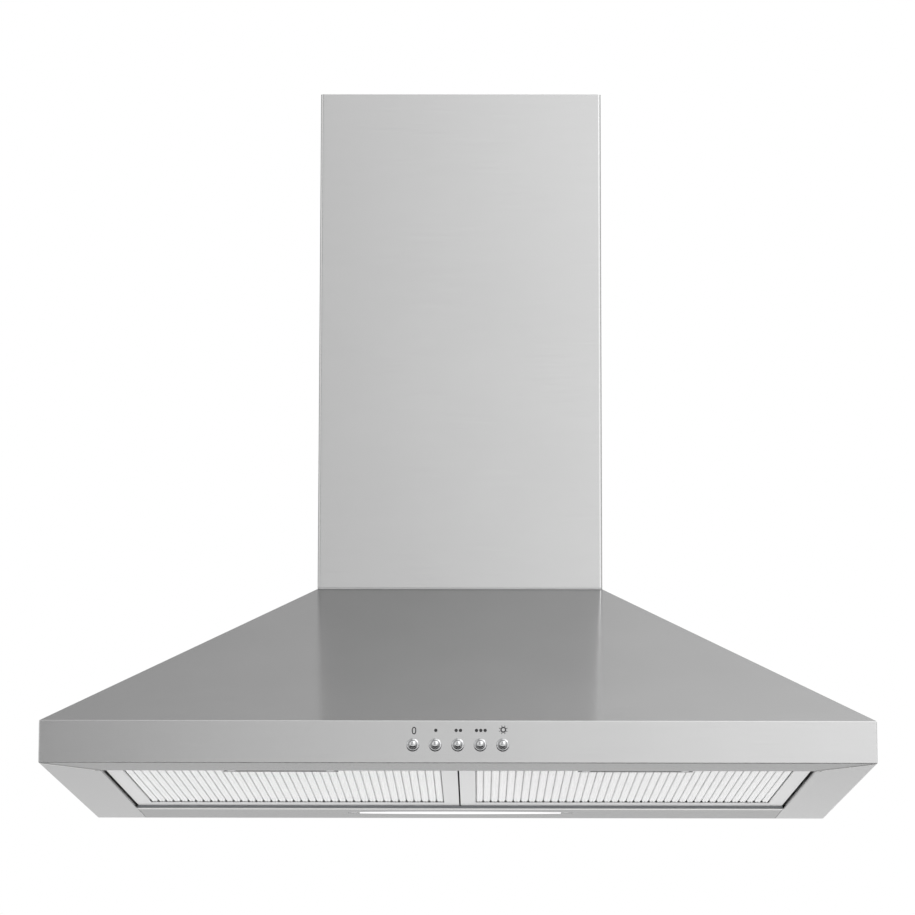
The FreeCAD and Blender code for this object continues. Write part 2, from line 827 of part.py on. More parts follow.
def mesh_line():
    """Underside (x, z) of the pleated mesh: wide ribs that face down, each with a shallow dimple along its middle
    and sloping shoulders, and a narrow deep groove between two ribs."""
    window_x = window_sides()[0]
    low = window_x[0] - mesh_tuck
    room = window_x[1] + mesh_tuck - low
    count = int((room - mesh_crest) / mesh_pitch)
    start = low + (room - mesh_crest - count * mesh_pitch) / 2
    crest_z = filter_bottom + filter_sheet + mesh_clearance
    shoulder_z = crest_z + mesh_shoulder_rise
    groove_z = filter_top - filter_sheet - mesh_clearance - mesh_sheet

    def crest(x):
        return [(x, crest_z), (x + mesh_ridge, crest_z), (x + mesh_crest / 2, crest_z + mesh_dimple_rise),
                (x + mesh_crest - mesh_ridge, crest_z), (x + mesh_crest, crest_z)]

    line = []
    for number in range(count):
        x = start + number * mesh_pitch
        middle = x + (mesh_crest + mesh_pitch) / 2
        line += crest(x)
        line += [(x + mesh_crest + mesh_shoulder, shoulder_z), (middle - mesh_groove_floor / 2, groove_z),
                 (middle + mesh_groove_floor / 2, groove_z), (x + mesh_pitch - mesh_shoulder, shoulder_z)]
    return line + crest(start + count * mesh_pitch)


def filter_mesh():
    """Pleated mesh pad: one folded sheet that fills the frame's channel from its bottom to its top."""
    window_y = window_sides()[1]
    lower = mesh_line()
    upper = offset_line(lower, mesh_sheet)
    return plate_xz(lower + upper[::-1], window_y[0] - mesh_tuck, window_y[1] + mesh_tuck)


def filter_latch():
    """Sliding pull plate under the filter's front edge, with a finger lip and an upright spring tab."""
    half = latch_width / 2
    plate = block((-half, half), (latch_front, latch_rear), (latch_bottom, latch_top))
    lip = block((-half, half), (latch_rear - latch_lip_width, latch_rear),
                (latch_bottom - latch_lip_drop, latch_bottom))
    tab = block((-latch_tab_width / 2, latch_tab_width / 2),
                (latch_tab_front, latch_tab_front + latch_sheet), (latch_bottom, latch_top + latch_tab_height))
    latch = join([plate, lip, tab])
    radius = guide_rivet_radius + latch_slot_clearance
    slots = []
    for x in guide_rivet_xs():
        y = guide_rivet_y()
        slots.append(rod_z(radius, latch_bottom - 1, latch_top + 1, x, y))
        slots.append(rod_z(radius, latch_bottom - 1, latch_top + 1, x, y - latch_travel))
        slots.append(block((x - radius, x + radius), (y - latch_travel, y), (latch_bottom - 1, latch_top + 1)))
    return latch.cut(slots)


def filter_guide_rivets():
    rivets = []
    for x in guide_rivet_xs():
        y = guide_rivet_y()
        shank = rod_z(guide_rivet_radius, latch_bottom, filter_bottom + filter_sheet, x, y)
        head = rod_z(guide_rivet_head_radius, latch_bottom - guide_rivet_head, latch_bottom, x, y)
        tail = rod_z(guide_rivet_tail_radius, filter_bottom + filter_sheet,
                     filter_bottom + filter_sheet + guide_rivet_head, x, y)
        rivets.append(join([shank, head, tail]))
    return group(rivets)


def filter_nose():
    """Spring-steel leaf on the front of the pull plate that lies over the edge of the front flange."""
    half = nose_width / 2
    bottom = latch_top - nose_thickness
    return block((-half, half), (latch_front - nose_bite, latch_front), (bottom, latch_top))


def filter_latch_spring():
    y0 = latch_tab_front + latch_sheet
    z = latch_top + latch_tab_height - latch_spring_radius
    tube = rod_y(latch_spring_radius, y0, spring_stop_front(), 0, z)
    return tube.cut(rod_y(latch_spring_radius - latch_spring_wire, y0 - 1, spring_stop_front() + 1, 0, z))


# ---------------------------------------------------------------- buttons and switch bank
def button_places():
    middle = (button_count - 1) / 2
    return [(number - middle) * button_pitch for number in range(button_count)]


def push_button(x):
    face = front_y - button_proud
    cap = rod_y(button_radius, face, chamber_front + button_bore_clearance, x, button_height_z)
    rim = [edge for edge in cap.Edges if edge.BoundBox.YMax < face + button_tip_radius / 2]
    cap = cap.makeFillet(button_tip_radius, rim)
    collar_front = chamber_front + button_bore_clearance
    collar = rod_y(button_collar_radius, collar_front, collar_front + button_collar_thickness, x, button_height_z)
    stem = rod_y(button_stem_radius, collar_front, switch_rear - button_travel - button_bore_clearance, x,
                 button_height_z)
    return join([cap, collar, stem])


def button_springs():
    springs = []
    start = chamber_front + button_bore_clearance + button_collar_thickness
    outer = button_collar_radius - button_bore_clearance
    inner = outer - 2 * button_bore_clearance
    for x in button_places():
        tube = rod_y(outer, start, chamber_rear, x, button_height_z)
        springs.append(tube.cut(rod_y(inner, start - 1, chamber_rear + 1, x, button_height_z)))
    return group(springs)


def button_bezels():
    rings = []
    for x in button_places():
        ring = rod_y(bezel_radius, front_y - bezel_proud, front_y, x, button_height_z)
        rim = [edge for edge in ring.Edges if edge.BoundBox.YMax < front_y - bezel_proud / 2]
        ring = ring.makeFillet(bezel_round, rim)
        barrel = rod_y(bezel_barrel_radius, front_y, skirt_inner_front, x, button_height_z)
        bore = rod_y(button_radius + button_bore_clearance, front_y - bezel_proud - 1, skirt_inner_front + 1, x,
                     button_height_z)
        rings.append(join([ring, barrel]).cut(bore))
    return group(rings)


def switch_screw_places():
    x = switch_half_width - switch_screw_from_end
    return [side * x for side in BOTH_SIDES]


def switch_housing():
    body = block((-switch_half_width, switch_half_width), (switch_front, switch_rear), (switch_bottom, switch_top))
    cutters = []
    for x in button_places():
        z = button_height_z
        cutters.append(rod_y(button_radius + button_bore_clearance, switch_front - 1, chamber_front, x, z))
        cutters.append(rod_y(switch_chamber_radius, chamber_front, chamber_rear, x, z))
        cutters.append(rod_y(button_stem_radius + button_bore_clearance, chamber_rear, switch_rear + 1, x, z))
    for x in switch_screw_places():
        cutters.append(rod_y(switch_screw_radius, switch_rear - switch_screw_bite, switch_rear + 1, x,
                             button_height_z))
    return body.cut(cutters)


def switch_board():
    half = switch_half_width - switch_board_inset
    board = block((-half, half), (switch_rear, board_rear),
                  (switch_bottom + switch_board_inset, switch_top - switch_board_inset))
    return board.cut([rod_y(switch_screw_radius, switch_rear - 1, board_rear + 1, x, button_height_z)
                      for x in switch_screw_places()])


def switch_bracket():
    """Strap behind the switch bank, with a leg and a foot at each end that stand on the skirt."""
    levels = (switch_bottom + switch_strap_inset, switch_top - switch_strap_inset)
    sheet = switch_strap_sheet
    pieces = [block((-strap_half, strap_half), (board_rear, strap_rear), levels)]
    for side in BOTH_SIDES:
        leg = sorted((side * strap_half, side * (strap_half - sheet)))
        foot = sorted((side * (strap_half - sheet), side * (strap_half + switch_strap_foot)))
        pieces.append(block(leg, (skirt_inner_front, strap_rear), levels))
        pieces.append(block(foot, (skirt_inner_front, skirt_inner_front + sheet), levels))
    strap = join(pieces)
    cutters = [block((-strap_window_half, strap_window_half), (board_rear - 1, strap_rear + 1),
                     (levels[0] + sheet, levels[1] - sheet))]
    cutters += [rod_y(switch_screw_radius, board_rear - 1, strap_rear + 1, x, button_height_z)
                for x in switch_screw_places()]
    return strap.cut(cutters)


def switch_screws():
    screws = []
    for x in switch_screw_places():
        shank = rod_y(switch_screw_radius, switch_rear - switch_screw_bite, strap_rear, x, button_height_z)
        head = rod_y(switch_screw_head_radius, strap_rear, strap_rear + switch_screw_head, x, button_height_z)
        screws.append(join([shank, head]))
    return group(screws)


# ---------------------------------------------------------------- blower
def blower_screw_places():
    """Places (x, z) of the four screws through the blower's lugs and the back panel."""
    x = blower_half_width - lug_inset - lug_width / 2
    low = blower_z
    high = outlet_top - lug_height / 2
    return [(side * x, z) for side in BOTH_SIDES for z in (low, high)]


def scroll_solid(radius, half_x, half_y, top):
    drum = rod_x(radius, -half_x, half_x, blower_y, blower_z)
    throat = block((-half_x, half_x), (blower_y - half_y, blower_y + half_y), (blower_z, top))
    return drum.fuse(throat)


def blower_half(side):
    outside = scroll_solid(scroll_radius, blower_half_width, outlet_half_depth, outlet_top)
    inside = scroll_solid(scroll_radius - blower_wall, blower_inner_half, outlet_half_depth - blower_wall,
                          outlet_top + 1)
    lugs = []
    for x, z in blower_screw_places():
        front = blower_y + outlet_half_depth - blower_wall / 2 if z > blower_z else -blower_wall_gap() - blower_wall
        lugs.append(block((x - lug_width / 2, x + lug_width / 2), (front, -panel_sheet),
                          (z - lug_height / 2, z + lug_height / 2)))
    shell = outside.fuse(lugs).cut(inside)
    inlet = rod_x(inlet_radius, -blower_half_width - 1, blower_half_width + 1, blower_y, blower_z)
    screws = [rod_y(panel_screw_radius, -panel_screw_length, 0, x, z) for x, z in blower_screw_places()]
    bush_seats = [rod_x(motor_screw_radius, blower_inner_half - 1, blower_half_width + 1, y, z)
                  for y, z in motor_arm_places()]
    other_side = sorted((0, -side * (blower_half_width + 1)))
    cut_box = block(other_side, (-2 * chimney_depth, chimney_depth), (0, chimney_top))
    return shell.cut([inlet, cut_box] + screws + bush_seats).removeSplitter()


def blower_wall_gap():
    """Distance from the wall plane to the rear of the scroll."""
    return blower_axis_wall_distance - scroll_radius


def panel_screws():
    """Screws put in from behind the back panel, flush with it: four into the blower, two into the light panel."""
    light = [(x, light_panel_screw_z()) for x in light_panel_screw_places()]
    return group(rod_y(panel_screw_radius, -panel_screw_length, 0, x, z) for x, z in blower_screw_places() + light)


def inlet_guard():
    """Flat wire guard over the left inlet: rings joined by spokes."""
    outer = -blower_half_width - guard_wire
    inner = -blower_half_width
    pieces = []
    for number in range(guard_ring_count):
        radius = guard_radius * (number + 1) / guard_ring_count
        ring = rod_x(radius, outer, inner, blower_y, blower_z)
        pieces.append(ring.cut(rod_x(radius - guard_wire, outer - 1, inner + 1, blower_y, blower_z)))
    for number in range(guard_spokes):
        spoke = block((outer, inner), (blower_y - guard_wire / 2, blower_y + guard_wire / 2),
                      (blower_z, blower_z + guard_radius - guard_wire / 2))
        spoke.rotate(V(0, blower_y, blower_z), X_AXIS, number * 360 / guard_spokes)
        pieces.append(spoke)
    return join(pieces)


# ---------------------------------------------------------------- impeller, shaft and motor
def motor_arm_places():
    """Places (y, z) of the rubber bushes round the right inlet."""
    places = []
    for number in range(motor_arm_count):
        angle = math.radians(90 + number * 360 / motor_arm_count)
        places.append((blower_y + motor_arm_radius * math.cos(angle), blower_z + motor_arm_radius * math.sin(angle)))
    return places


def impeller():
    disc_left = -hub_disc_from_centre
    disc = rod_x(impeller_radius, disc_left, disc_left + drum_ring, blower_y, blower_z)
    pieces = [disc]
    for left in (-drum_half_width, drum_half_width - drum_ring):
        ring = rod_x(impeller_radius, left, left + drum_ring, blower_y, blower_z)
        pieces.append(ring.cut(rod_x(impeller_radius - blade_depth, left - 1, left + drum_ring + 1,
                                     blower_y, blower_z)))
    middle = impeller_radius - blade_depth / 2
    for number in range(blade_count):
        blade = block((-drum_half_width, drum_half_width), (blower_y - blade_thickness / 2,
                      blower_y + blade_thickness / 2), (blower_z + middle - blade_chord / 2,
                                                        blower_z + middle + blade_chord / 2))
        blade.rotate(V(0, blower_y, blower_z + middle), X_AXIS, blade_slant)
        blade.rotate(V(0, blower_y, blower_z), X_AXIS, number * 360 / blade_count)
        pieces.append(blade)
    pieces.append(rod_x(hub_radius, hub_left(), hub_left() + hub_length, blower_y, blower_z))
    bore = rod_x(shaft_radius, hub_left() - 1, hub_left() + hub_length + 1, blower_y, blower_z)
    return join(pieces).cut(bore)


def hub_left():
    return -hub_disc_from_centre - hub_length / 2


def motor_shaft():
    left = hub_left() - 2 * clip_thickness
    right = -motor_front_from_centre + motor_length * shaft_reach_share
    return rod_x(shaft_radius, left, right, blower_y, blower_z)


def hub_clip():
    left = hub_left() - clip_thickness
    ring = rod_x(clip_radius, left, hub_left(), blower_y, blower_z)
    return ring.cut(rod_x(shaft_radius, left - 1, hub_left() + 1, blower_y, blower_z))


def motor():
    left = -motor_front_from_centre
    body = rod_x(motor_radius, left, left + motor_length, blower_y, blower_z)
    ends = [edge for edge in body.Edges if edge.Length > motor_radius]
    body = body.makeFillet(motor_radius / 8, [edge for edge in ends if len(edge.Vertexes) == 1])
    neck = rod_x(motor_neck_radius, left + motor_length - 1, motor_bracket_x, blower_y, blower_z)
    bore_end = left + motor_length * shaft_reach_share + shaft_end_play
    bore = rod_x(shaft_radius + shaft_running_gap, left - 1, bore_end, blower_y, blower_z)
    return join([body, neck]).cut(bore)


def motor_bracket():
    left, right = motor_bracket_x, motor_bracket_x + motor_bracket_sheet
    pieces = [rod_x(motor_bracket_hub_radius, left, right, blower_y, blower_z)]
    for number in range(motor_arm_count):
        arm = block((left, right), (blower_y - motor_arm_width / 2, blower_y + motor_arm_width / 2),
                    (blower_z, blower_z + motor_arm_radius))
        arm = arm.fuse(rod_x(motor_arm_width / 2, left, right, blower_y, blower_z + motor_arm_radius))
        arm.rotate(V(0, blower_y, blower_z), X_AXIS, number * 360 / motor_arm_count)
        pieces.append(arm)
    holes = [rod_x(motor_screw_radius, left - 1, right + 1, y, z) for y, z in motor_arm_places()]
    return join(pieces).cut(holes)


def motor_bushes():
    bushes = []
    for y, z in motor_arm_places():
        bush = rod_x(bush_radius, blower_half_width, motor_bracket_x, y, z)
        bushes.append(bush.cut(rod_x(motor_screw_radius, blower_half_width - 1, motor_bracket_x + 1, y, z)))
    return group(bushes)


def motor_screws():
    right = motor_bracket_x + motor_bracket_sheet
    screws = []
    for y, z in motor_arm_places():
        screws.append(join([rod_x(motor_screw_radius, blower_inner_half, right, y, z),
                            rod_x(motor_screw_head_radius, right, right + motor_screw_head, y, z)]))
    return group(screws)


# ---------------------------------------------------------------- duct spigot and flaps
def duct_spigot():
    half_x = blower_half_width + spigot_base_margin
    half_y = outlet_half_depth + spigot_base_margin
    base = block((-half_x, half_x), (blower_y - half_y, blower_y + half_y), (outlet_top, spigot_foot))
    tube = rod_z(spigot_radius, outlet_top, spigot_top, 0, blower_y)
    bore = rod_z(spigot_bore, outlet_top - 1, spigot_top + 1, 0, blower_y)
    stop = rod_z(spigot_bore + spigot_wall / 2, flap_stop_top - flap_stop_sheet, flap_stop_top, 0, blower_y)
    stop = stop.cut(rod_z(spigot_bore - flap_stop_width, outlet_top, spigot_top, 0, blower_y))
    body = join([base, tube]).cut(bore)
    body = join([body, stop])
    return body.cut(rod_x(flap_rod_radius, -spigot_radius - 1, spigot_radius + 1, blower_y, flap_axis_z))


def flap_rod():
    reach = math.sqrt(spigot_radius ** 2 - flap_rod_radius ** 2)
    return rod_x(flap_rod_radius, -reach, reach, blower_y, flap_axis_z)


def knuckle(x0, x1):
    return rod_x(flap_knuckle_radius, x0, x1, blower_y, flap_axis_z)


def knuckle_room(x0, x1):
    gap = flap_knuckle_notch_gap
    reach = flap_knuckle_radius + gap
    return block((x0 - gap, x1 + gap), (blower_y - reach, blower_y + reach),
                 (flap_axis_z - reach - gap, flap_axis_z + reach))


def non_return_flap(side):
    """Half-round flap on one side of the rod: the front one has the middle knuckle, the rear one the two ends."""
    radius = spigot_bore - flap_edge_gap
    disc = rod_z(radius, flap_bottom, flap_bottom + flap_sheet, 0, blower_y)
    far = sorted((blower_y + side * flap_split_gap, blower_y + side * 2 * radius))
    half_disc = disc.common(block((-radius, radius), far, (flap_bottom - 1, flap_bottom + flap_sheet + 1)))
    middle = [(-flap_mid_knuckle_half, flap_mid_knuckle_half)]
    ends = [(-flap_end_knuckle_to, -flap_end_knuckle_from), (flap_end_knuckle_from, flap_end_knuckle_to)]
    own, other = (middle, ends) if side < 0 else (ends, middle)
    half_disc = half_disc.cut([knuckle_room(*span) for span in other])
    flap = join([half_disc] + [knuckle(*span) for span in own])
    return flap.cut(rod_x(flap_rod_radius + flap_rod_gap, -spigot_radius, spigot_radius, blower_y, flap_axis_z))


# ---------------------------------------------------------------- electrical pieces
def terminal_top():
    return terminal_bottom + terminal_height


def terminal_front():
    return -panel_sheet - terminal_depth


def gland_x():
    return -terminal_half_width + gland_from_end


def gland_y():
    return -panel_sheet - terminal_depth / 2


def terminal_box():
    front, rear = terminal_front(), -panel_sheet
    outside = block((-terminal_half_width, terminal_half_width), (front, rear), (terminal_bottom, terminal_top()))
    wall = terminal_wall
    hollow = block((-terminal_half_width + wall, terminal_half_width - wall), (front - 1, rear - wall),
                   (terminal_bottom + wall, terminal_top() - wall))
    entry = rod_z(gland_radius, terminal_top() - wall - 1, terminal_top() + 1, gland_x(), gland_y())
    return outside.cut([hollow, entry])


def terminal_lid():
    front = terminal_front()
    return block((-terminal_half_width, terminal_half_width), (front - terminal_lid_thickness, front),
                 (terminal_bottom, terminal_top()))


def terminal_block():
    rear = -panel_sheet - terminal_wall
    bottom = terminal_bottom + terminal_wall
    half = terminal_block_half_width
    body = block((-half, half), (rear - terminal_block_depth, rear), (bottom, bottom + terminal_block_height))
    cutters = []
    step = 2 * half / terminal_poles
    for number in range(terminal_poles):
        x = -half + (number + 0.5) * step
        cutters.append(rod_y(step / 4, rear - terminal_block_depth - 1, rear - terminal_block_depth / 2, x,
                             bottom + terminal_block_height / 2))
    return body.cut(cutters)


def cable_gland():
    top = terminal_top()
    body = rod_z(gland_radius, top - terminal_wall, top + gland_length, gland_x(), gland_y())
    flange = rod_z(gland_flange_radius, top, top + gland_flange, gland_x(), gland_y())
    bore = rod_z(gland_bore_radius, top - terminal_wall - 1, top + gland_length + 1, gland_x(), gland_y())
    return join([body, flange]).cut(bore)


def capacitor_y():
    return -panel_sheet - capacitor_radius - capacitor_clip_sheet


def capacitor_left():
    return terminal_half_width + capacitor_gap


def capacitor():
    left = capacitor_left()
    can = rod_x(capacitor_radius, left, left + capacitor_length, capacitor_y(), capacitor_height_z)
    ends = [edge for edge in can.Edges if len(edge.Vertexes) == 1]
    return can.makeFillet(capacitor_radius / 8, ends)


def capacitor_clip():
    """Strap bent round the can, with a foot above and below on the back panel."""
    middle = capacitor_left() + capacitor_length / 2
    span = (middle - capacitor_clip_width / 2, middle + capacitor_clip_width / 2)
    y, z = capacitor_y(), capacitor_height_z
    outer = capacitor_radius + capacitor_clip_sheet
    ring = rod_x(outer, span[0], span[1], y, z)
    feet = block(span, (-panel_sheet - capacitor_clip_sheet, -panel_sheet),
                 (z - outer - capacitor_clip_foot, z + outer + capacitor_clip_foot))
    walls = block(span, (y, -panel_sheet), (z - outer, z + outer))
    hollow = rod_x(capacitor_radius, span[0] - 1, span[1] + 1, y, z)
    opening = block((span[0] - 1, span[1] + 1), (y, 1), (z - capacitor_radius, z + capacitor_radius))
    return join([ring, feet, walls]).cut([hollow, opening])


# ---------------------------------------------------------------- internal leads
def routed_lead(points):
    """Tube along a route: straight runs joined by tangent arcs as large as the two runs allow."""
    points = [V(*point) for point in points]
    edges = []
    here = points[0]
    for before, corner, after in zip(points, points[1:], points[2:]):
        run_in, run_out = corner - before, after - corner
        turn = run_in.getAngle(run_out)
        shorter = min(run_in.Length, run_out.Length)
        back = lead_bend_share * shorter
        radius = back / math.tan(turn / 2)
        unit_in, unit_out = V(run_in).normalize(), V(run_out).normalize()
        start, end = corner - unit_in * back, corner + unit_out * back
        towards = (unit_out - unit_in).normalize()
        centre = corner + towards * (radius / math.cos(turn / 2))
        middle = centre - towards * radius
        edges.append(Part.makeLine(here, start))
        edges.append(Part.Arc(start, middle, end).toShape())
        here = end
        print(f"  lead bend radius {radius:.1f}")
    edges.append(Part.makeLine(here, points[-1]))
    path = Part.Wire(edges)
    first = V(points[1] - points[0]).normalize()
    ring = Part.Wire(Part.makeCircle(lead_radius, points[0], first))
    tube = path.makePipeShell([ring], True, True)
    print(f"  lead length {path.Length:.0f}, volume against section times length "
          f"{tube.Volume / (math.pi * lead_radius ** 2 * path.Length):.4f}")
    return tube


def switch_lead():
    """From the switch board up under the canopy's front slope and down to the terminal box."""
    below_roof = 3 * lead_radius
    entry = terminal_top()
    x_end = terminal_half_width / 2
    y_board, z_board = board_rear, button_height_z
    points = [(0, y_board, z_board), (0, y_board + switch_lead_exit, z_board)]
    for distance, x in switch_lead_roof_points:
        y = front_y + distance
        points.append((x, y, skirt_top + (distance - front_wall_run) * math.tan(front_slope) - below_roof))
    points += [(x_end + 3, -chimney_depth * 0.9, entry + 40), (x_end + 1, -chimney_depth * 0.55, entry + 42),
               (x_end, gland_y(), entry + 28), (x_end, gland_y(), entry)]
    return routed_lead(points)


def lamp_lead():
    """From the top of the lamp tray up to the left side of the terminal box."""
    tray_top = light_panel_sheet + lamp_tray_height
    start_x = -lamp_tray_length / 2 + 4 * lead_radius
    end_z = terminal_top() - 4 * lead_radius - terminal_height / 5
    y = -lens_wall_distance
    return routed_lead([(start_x, y, tray_top), (start_x, y, tray_top + lamp_lead_rise),
                        (-terminal_half_width - lamp_lead_run, gland_y(), end_z),
                        (-terminal_half_width, gland_y(), end_z)])


# ---------------------------------------------------------------- all pieces
def build():
    os.makedirs("parts", exist_ok=True)
    save("canopy_shell", canopy_shell())
    save("underside_frame", underside_frame())
    save("back_panel", back_panel())
    save("canopy_rivets", canopy_rivets())

    save("chimney_lower", chimney_lower())
    save("chimney_screws", chimney_screws())
    save("chimney_upper", chimney_upper())
    save("chimney_bracket", chimney_bracket())
    save("bracket_screws", bracket_screws())

    save("light_panel", light_panel())
    save("light_lens", light_lens())
    save("lens_screws", lens_screws())
    save("lamp_tray", lamp_tray())
    save("led_board", led_board())

    for side, name in zip(BOTH_SIDES, ("left", "right")):
        shift = V(side * filter_centre_x, 0, 0)
        for part_name, make in (("frame", filter_frame), ("mesh", filter_mesh), ("latch", filter_latch),
                                ("guide_rivets", filter_guide_rivets), ("nose", filter_nose),
                                ("latch_spring", filter_latch_spring)):
            shape = make()
            shape.translate(shift)
            save("filter_" + name + "_" + part_name, shape)

    for number, x in enumerate(button_places(), start=1):
        save("button_" + str(number), push_button(x))
    save("button_springs", button_springs())
    save("button_bezels", button_bezels())
    save("switch_housing", switch_housing())
    save("switch_board", switch_board())
    save("switch_bracket", switch_bracket())
    save("switch_screws", switch_screws())

    save("blower_shell_left", blower_half(-1))
    save("blower_shell_right", blower_half(1))
    save("panel_screws", panel_screws())
    save("inlet_guard", inlet_guard())
    save("impeller", impeller())
    save("motor_shaft", motor_shaft())
    save("hub_clip", hub_clip())
    save("motor", motor())
    save("motor_bracket", motor_bracket())
    save("motor_bushes", motor_bushes())
    save("motor_screws", motor_screws())

    save("duct_spigot", duct_spigot())
    save("flap_rod", flap_rod())
    save("flap_front", non_return_flap(-1))
    save("flap_rear", non_return_flap(1))

    save("terminal_box", terminal_box())
    save("terminal_lid", terminal_lid())
    save("terminal_block", terminal_block())
    save("cable_gland", cable_gland())
    save("capacitor", capacitor())
    save("capacitor_clip", capacitor_clip())
    save("switch_lead", switch_lead())
    save("lamp_lead", lamp_lead())


build()
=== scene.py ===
# %% [markdown]
# # A wall-mounted chimney range hood
# The hood is a shallow stainless pyramid with an upright skirt, a telescopic chimney cover, five
# chrome push buttons, two cassette grease filters and a rear panel with a long narrow lamp. The
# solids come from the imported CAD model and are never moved. This script gives them their finishes,
# adds the details that are too fine for the solids, and sets up the studio.

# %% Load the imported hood
import math

import bmesh
import bpy
from mathutils import Matrix, Vector


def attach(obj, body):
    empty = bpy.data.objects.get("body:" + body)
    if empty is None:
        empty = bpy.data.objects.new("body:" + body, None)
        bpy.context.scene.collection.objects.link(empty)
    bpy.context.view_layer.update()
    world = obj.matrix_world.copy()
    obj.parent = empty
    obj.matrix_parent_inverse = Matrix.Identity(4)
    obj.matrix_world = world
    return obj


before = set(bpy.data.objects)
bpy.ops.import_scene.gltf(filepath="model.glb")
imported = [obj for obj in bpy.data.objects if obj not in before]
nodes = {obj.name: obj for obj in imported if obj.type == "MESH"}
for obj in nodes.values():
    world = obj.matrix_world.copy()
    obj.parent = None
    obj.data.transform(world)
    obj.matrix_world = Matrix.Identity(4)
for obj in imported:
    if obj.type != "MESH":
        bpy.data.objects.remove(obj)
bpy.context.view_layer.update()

# %% [markdown]
# ## The camera
# The picture looks a little upward at the hood, from below its rim and about three and a half
# metres away. A few numbers fix such a camera: where it stands, which way it looks, how far it is
# rolled and how long its lens is. They could be set by eye. Here they were fitted to the hood's own
# corners, so that every edge of the model falls on its place in the picture.

# %% Place the camera
MM = 0.001
CAMERA_PLACE = Vector((15.12, -3565.98, -284.69)) * MM
CAMERA_YAW, CAMERA_PITCH, CAMERA_ROLL = -0.0051, 0.1631, 0.0019
FOCAL_PIXELS, PICTURE_PIXELS, SENSOR_WIDTH = 4311.3, 915, 36.0

ahead = Vector((math.sin(CAMERA_YAW) * math.cos(CAMERA_PITCH),
                math.cos(CAMERA_YAW) * math.cos(CAMERA_PITCH), math.sin(CAMERA_PITCH)))
level_right = Vector((math.cos(CAMERA_YAW), -math.sin(CAMERA_YAW), 0))
level_up = level_right.cross(ahead)
right = level_right * math.cos(CAMERA_ROLL) + level_up * math.sin(CAMERA_ROLL)
up = level_up * math.cos(CAMERA_ROLL) - level_right * math.sin(CAMERA_ROLL)

camera = bpy.data.objects.new("camera", bpy.data.cameras.new("camera"))
bpy.context.scene.collection.objects.link(camera)
bpy.context.scene.camera = camera
camera.matrix_world = Matrix.Translation(CAMERA_PLACE) @ Matrix((right, up, -ahead)).transposed().to_4x4()
camera.data.sensor_width = SENSOR_WIDTH
camera.data.lens = FOCAL_PIXELS / PICTURE_PIXELS * SENSOR_WIDTH
camera.data.clip_end = 100
bpy.context.scene.view_settings.view_transform = "Standard"
print("lens in mm:", round(camera.data.lens, 1))

# %% [markdown]
# ## Two helpers for node trees
# A material or a node group is a net of small boxes. Each box could be made in four lines: add it,
# set it, give it numbers, wire it. One helper does all four, so that a finish below reads like its
# own recipe.

# %% Node helpers
def put(tree, kind, feeds=None, **settings):
    """Adds one node. feeds says what goes into its inputs: plain values, or outputs of other nodes."""
    made = tree.nodes.new(kind)
    for setting, value in settings.items():
        setattr(made, setting, value)
    for socket, value in (feeds or {}).items():
        if isinstance(value, bpy.types.NodeSocket):
            tree.links.new(value, made.inputs[socket])
        else:
            made.inputs[socket].default_value = value
    return made


def math_node(tree, operation, *values, clamp=False):
    feeds = dict(enumerate(values))
    return put(tree, "ShaderNodeMath", feeds, operation=operation, use_clamp=clamp).outputs[0]


def object_place(tree):
    return put(tree, "ShaderNodeTexCoord").outputs["Object"]


def true_normal(tree):
    return put(tree, "ShaderNodeNewGeometry").outputs["True Normal"]


def per_metre(tree, size):
    """How often a pattern of this size repeats in a metre, which is what a texture's scale means."""
    return math_node(tree, "DIVIDE", 1.0, size)


def parts_of(tree, vector):
    """The x, y and z of a vector."""
    return put(tree, "ShaderNodeSeparateXYZ", {0: vector}).outputs


def effect_group(name, inputs, outputs):
    """A node group with named inputs, given as {name: (socket type, value)}, and named outputs."""
    tree = bpy.data.node_groups.new(name, "ShaderNodeTree")
    for label, (kind, value) in inputs.items():
        tree.interface.new_socket(label, in_out="INPUT", socket_type=kind).default_value = value
    for label, kind in outputs.items():
        tree.interface.new_socket(label, in_out="OUTPUT", socket_type=kind)
    return tree, tree.nodes.new("NodeGroupInput").outputs, tree.nodes.new("NodeGroupOutput").inputs


VALUE, VECTOR = "NodeSocketFloat", "NodeSocketVector"

# %% [markdown]
# ## Brush grain
# Stainless sheet for hoods is ground with a belt, which leaves short straight scratches, all one
# way. On this hood they run level round the skirt, the pyramid and the chimney. They could be
# painted on a picture and wrapped round, but then every face needs its own wrapping. A noise that
# is stretched along X and Y and squeezed along Z gives level scratches on every standing or leaning
# face at once. Faces that lie flat get the same noise squeezed along Y. Only the two side flanges
# of the underside are cut the other way round: their scratches run from front to back and meet
# those of the front flange at a mitre.

# %% Side flange group
OPENING_HALF, OPENING_FRONT, SKIRT_HALF, SKIRT_DEPTH = 260 * MM, 431 * MM, 300 * MM, 490 * MM
FLAT_ENOUGH = 0.95


def flat_mask(tree):
    """1 on the faces that look straight up or down."""
    upward = math_node(tree, "ABSOLUTE", parts_of(tree, true_normal(tree))[2])
    return math_node(tree, "GREATER_THAN", upward, FLAT_ENOUGH)


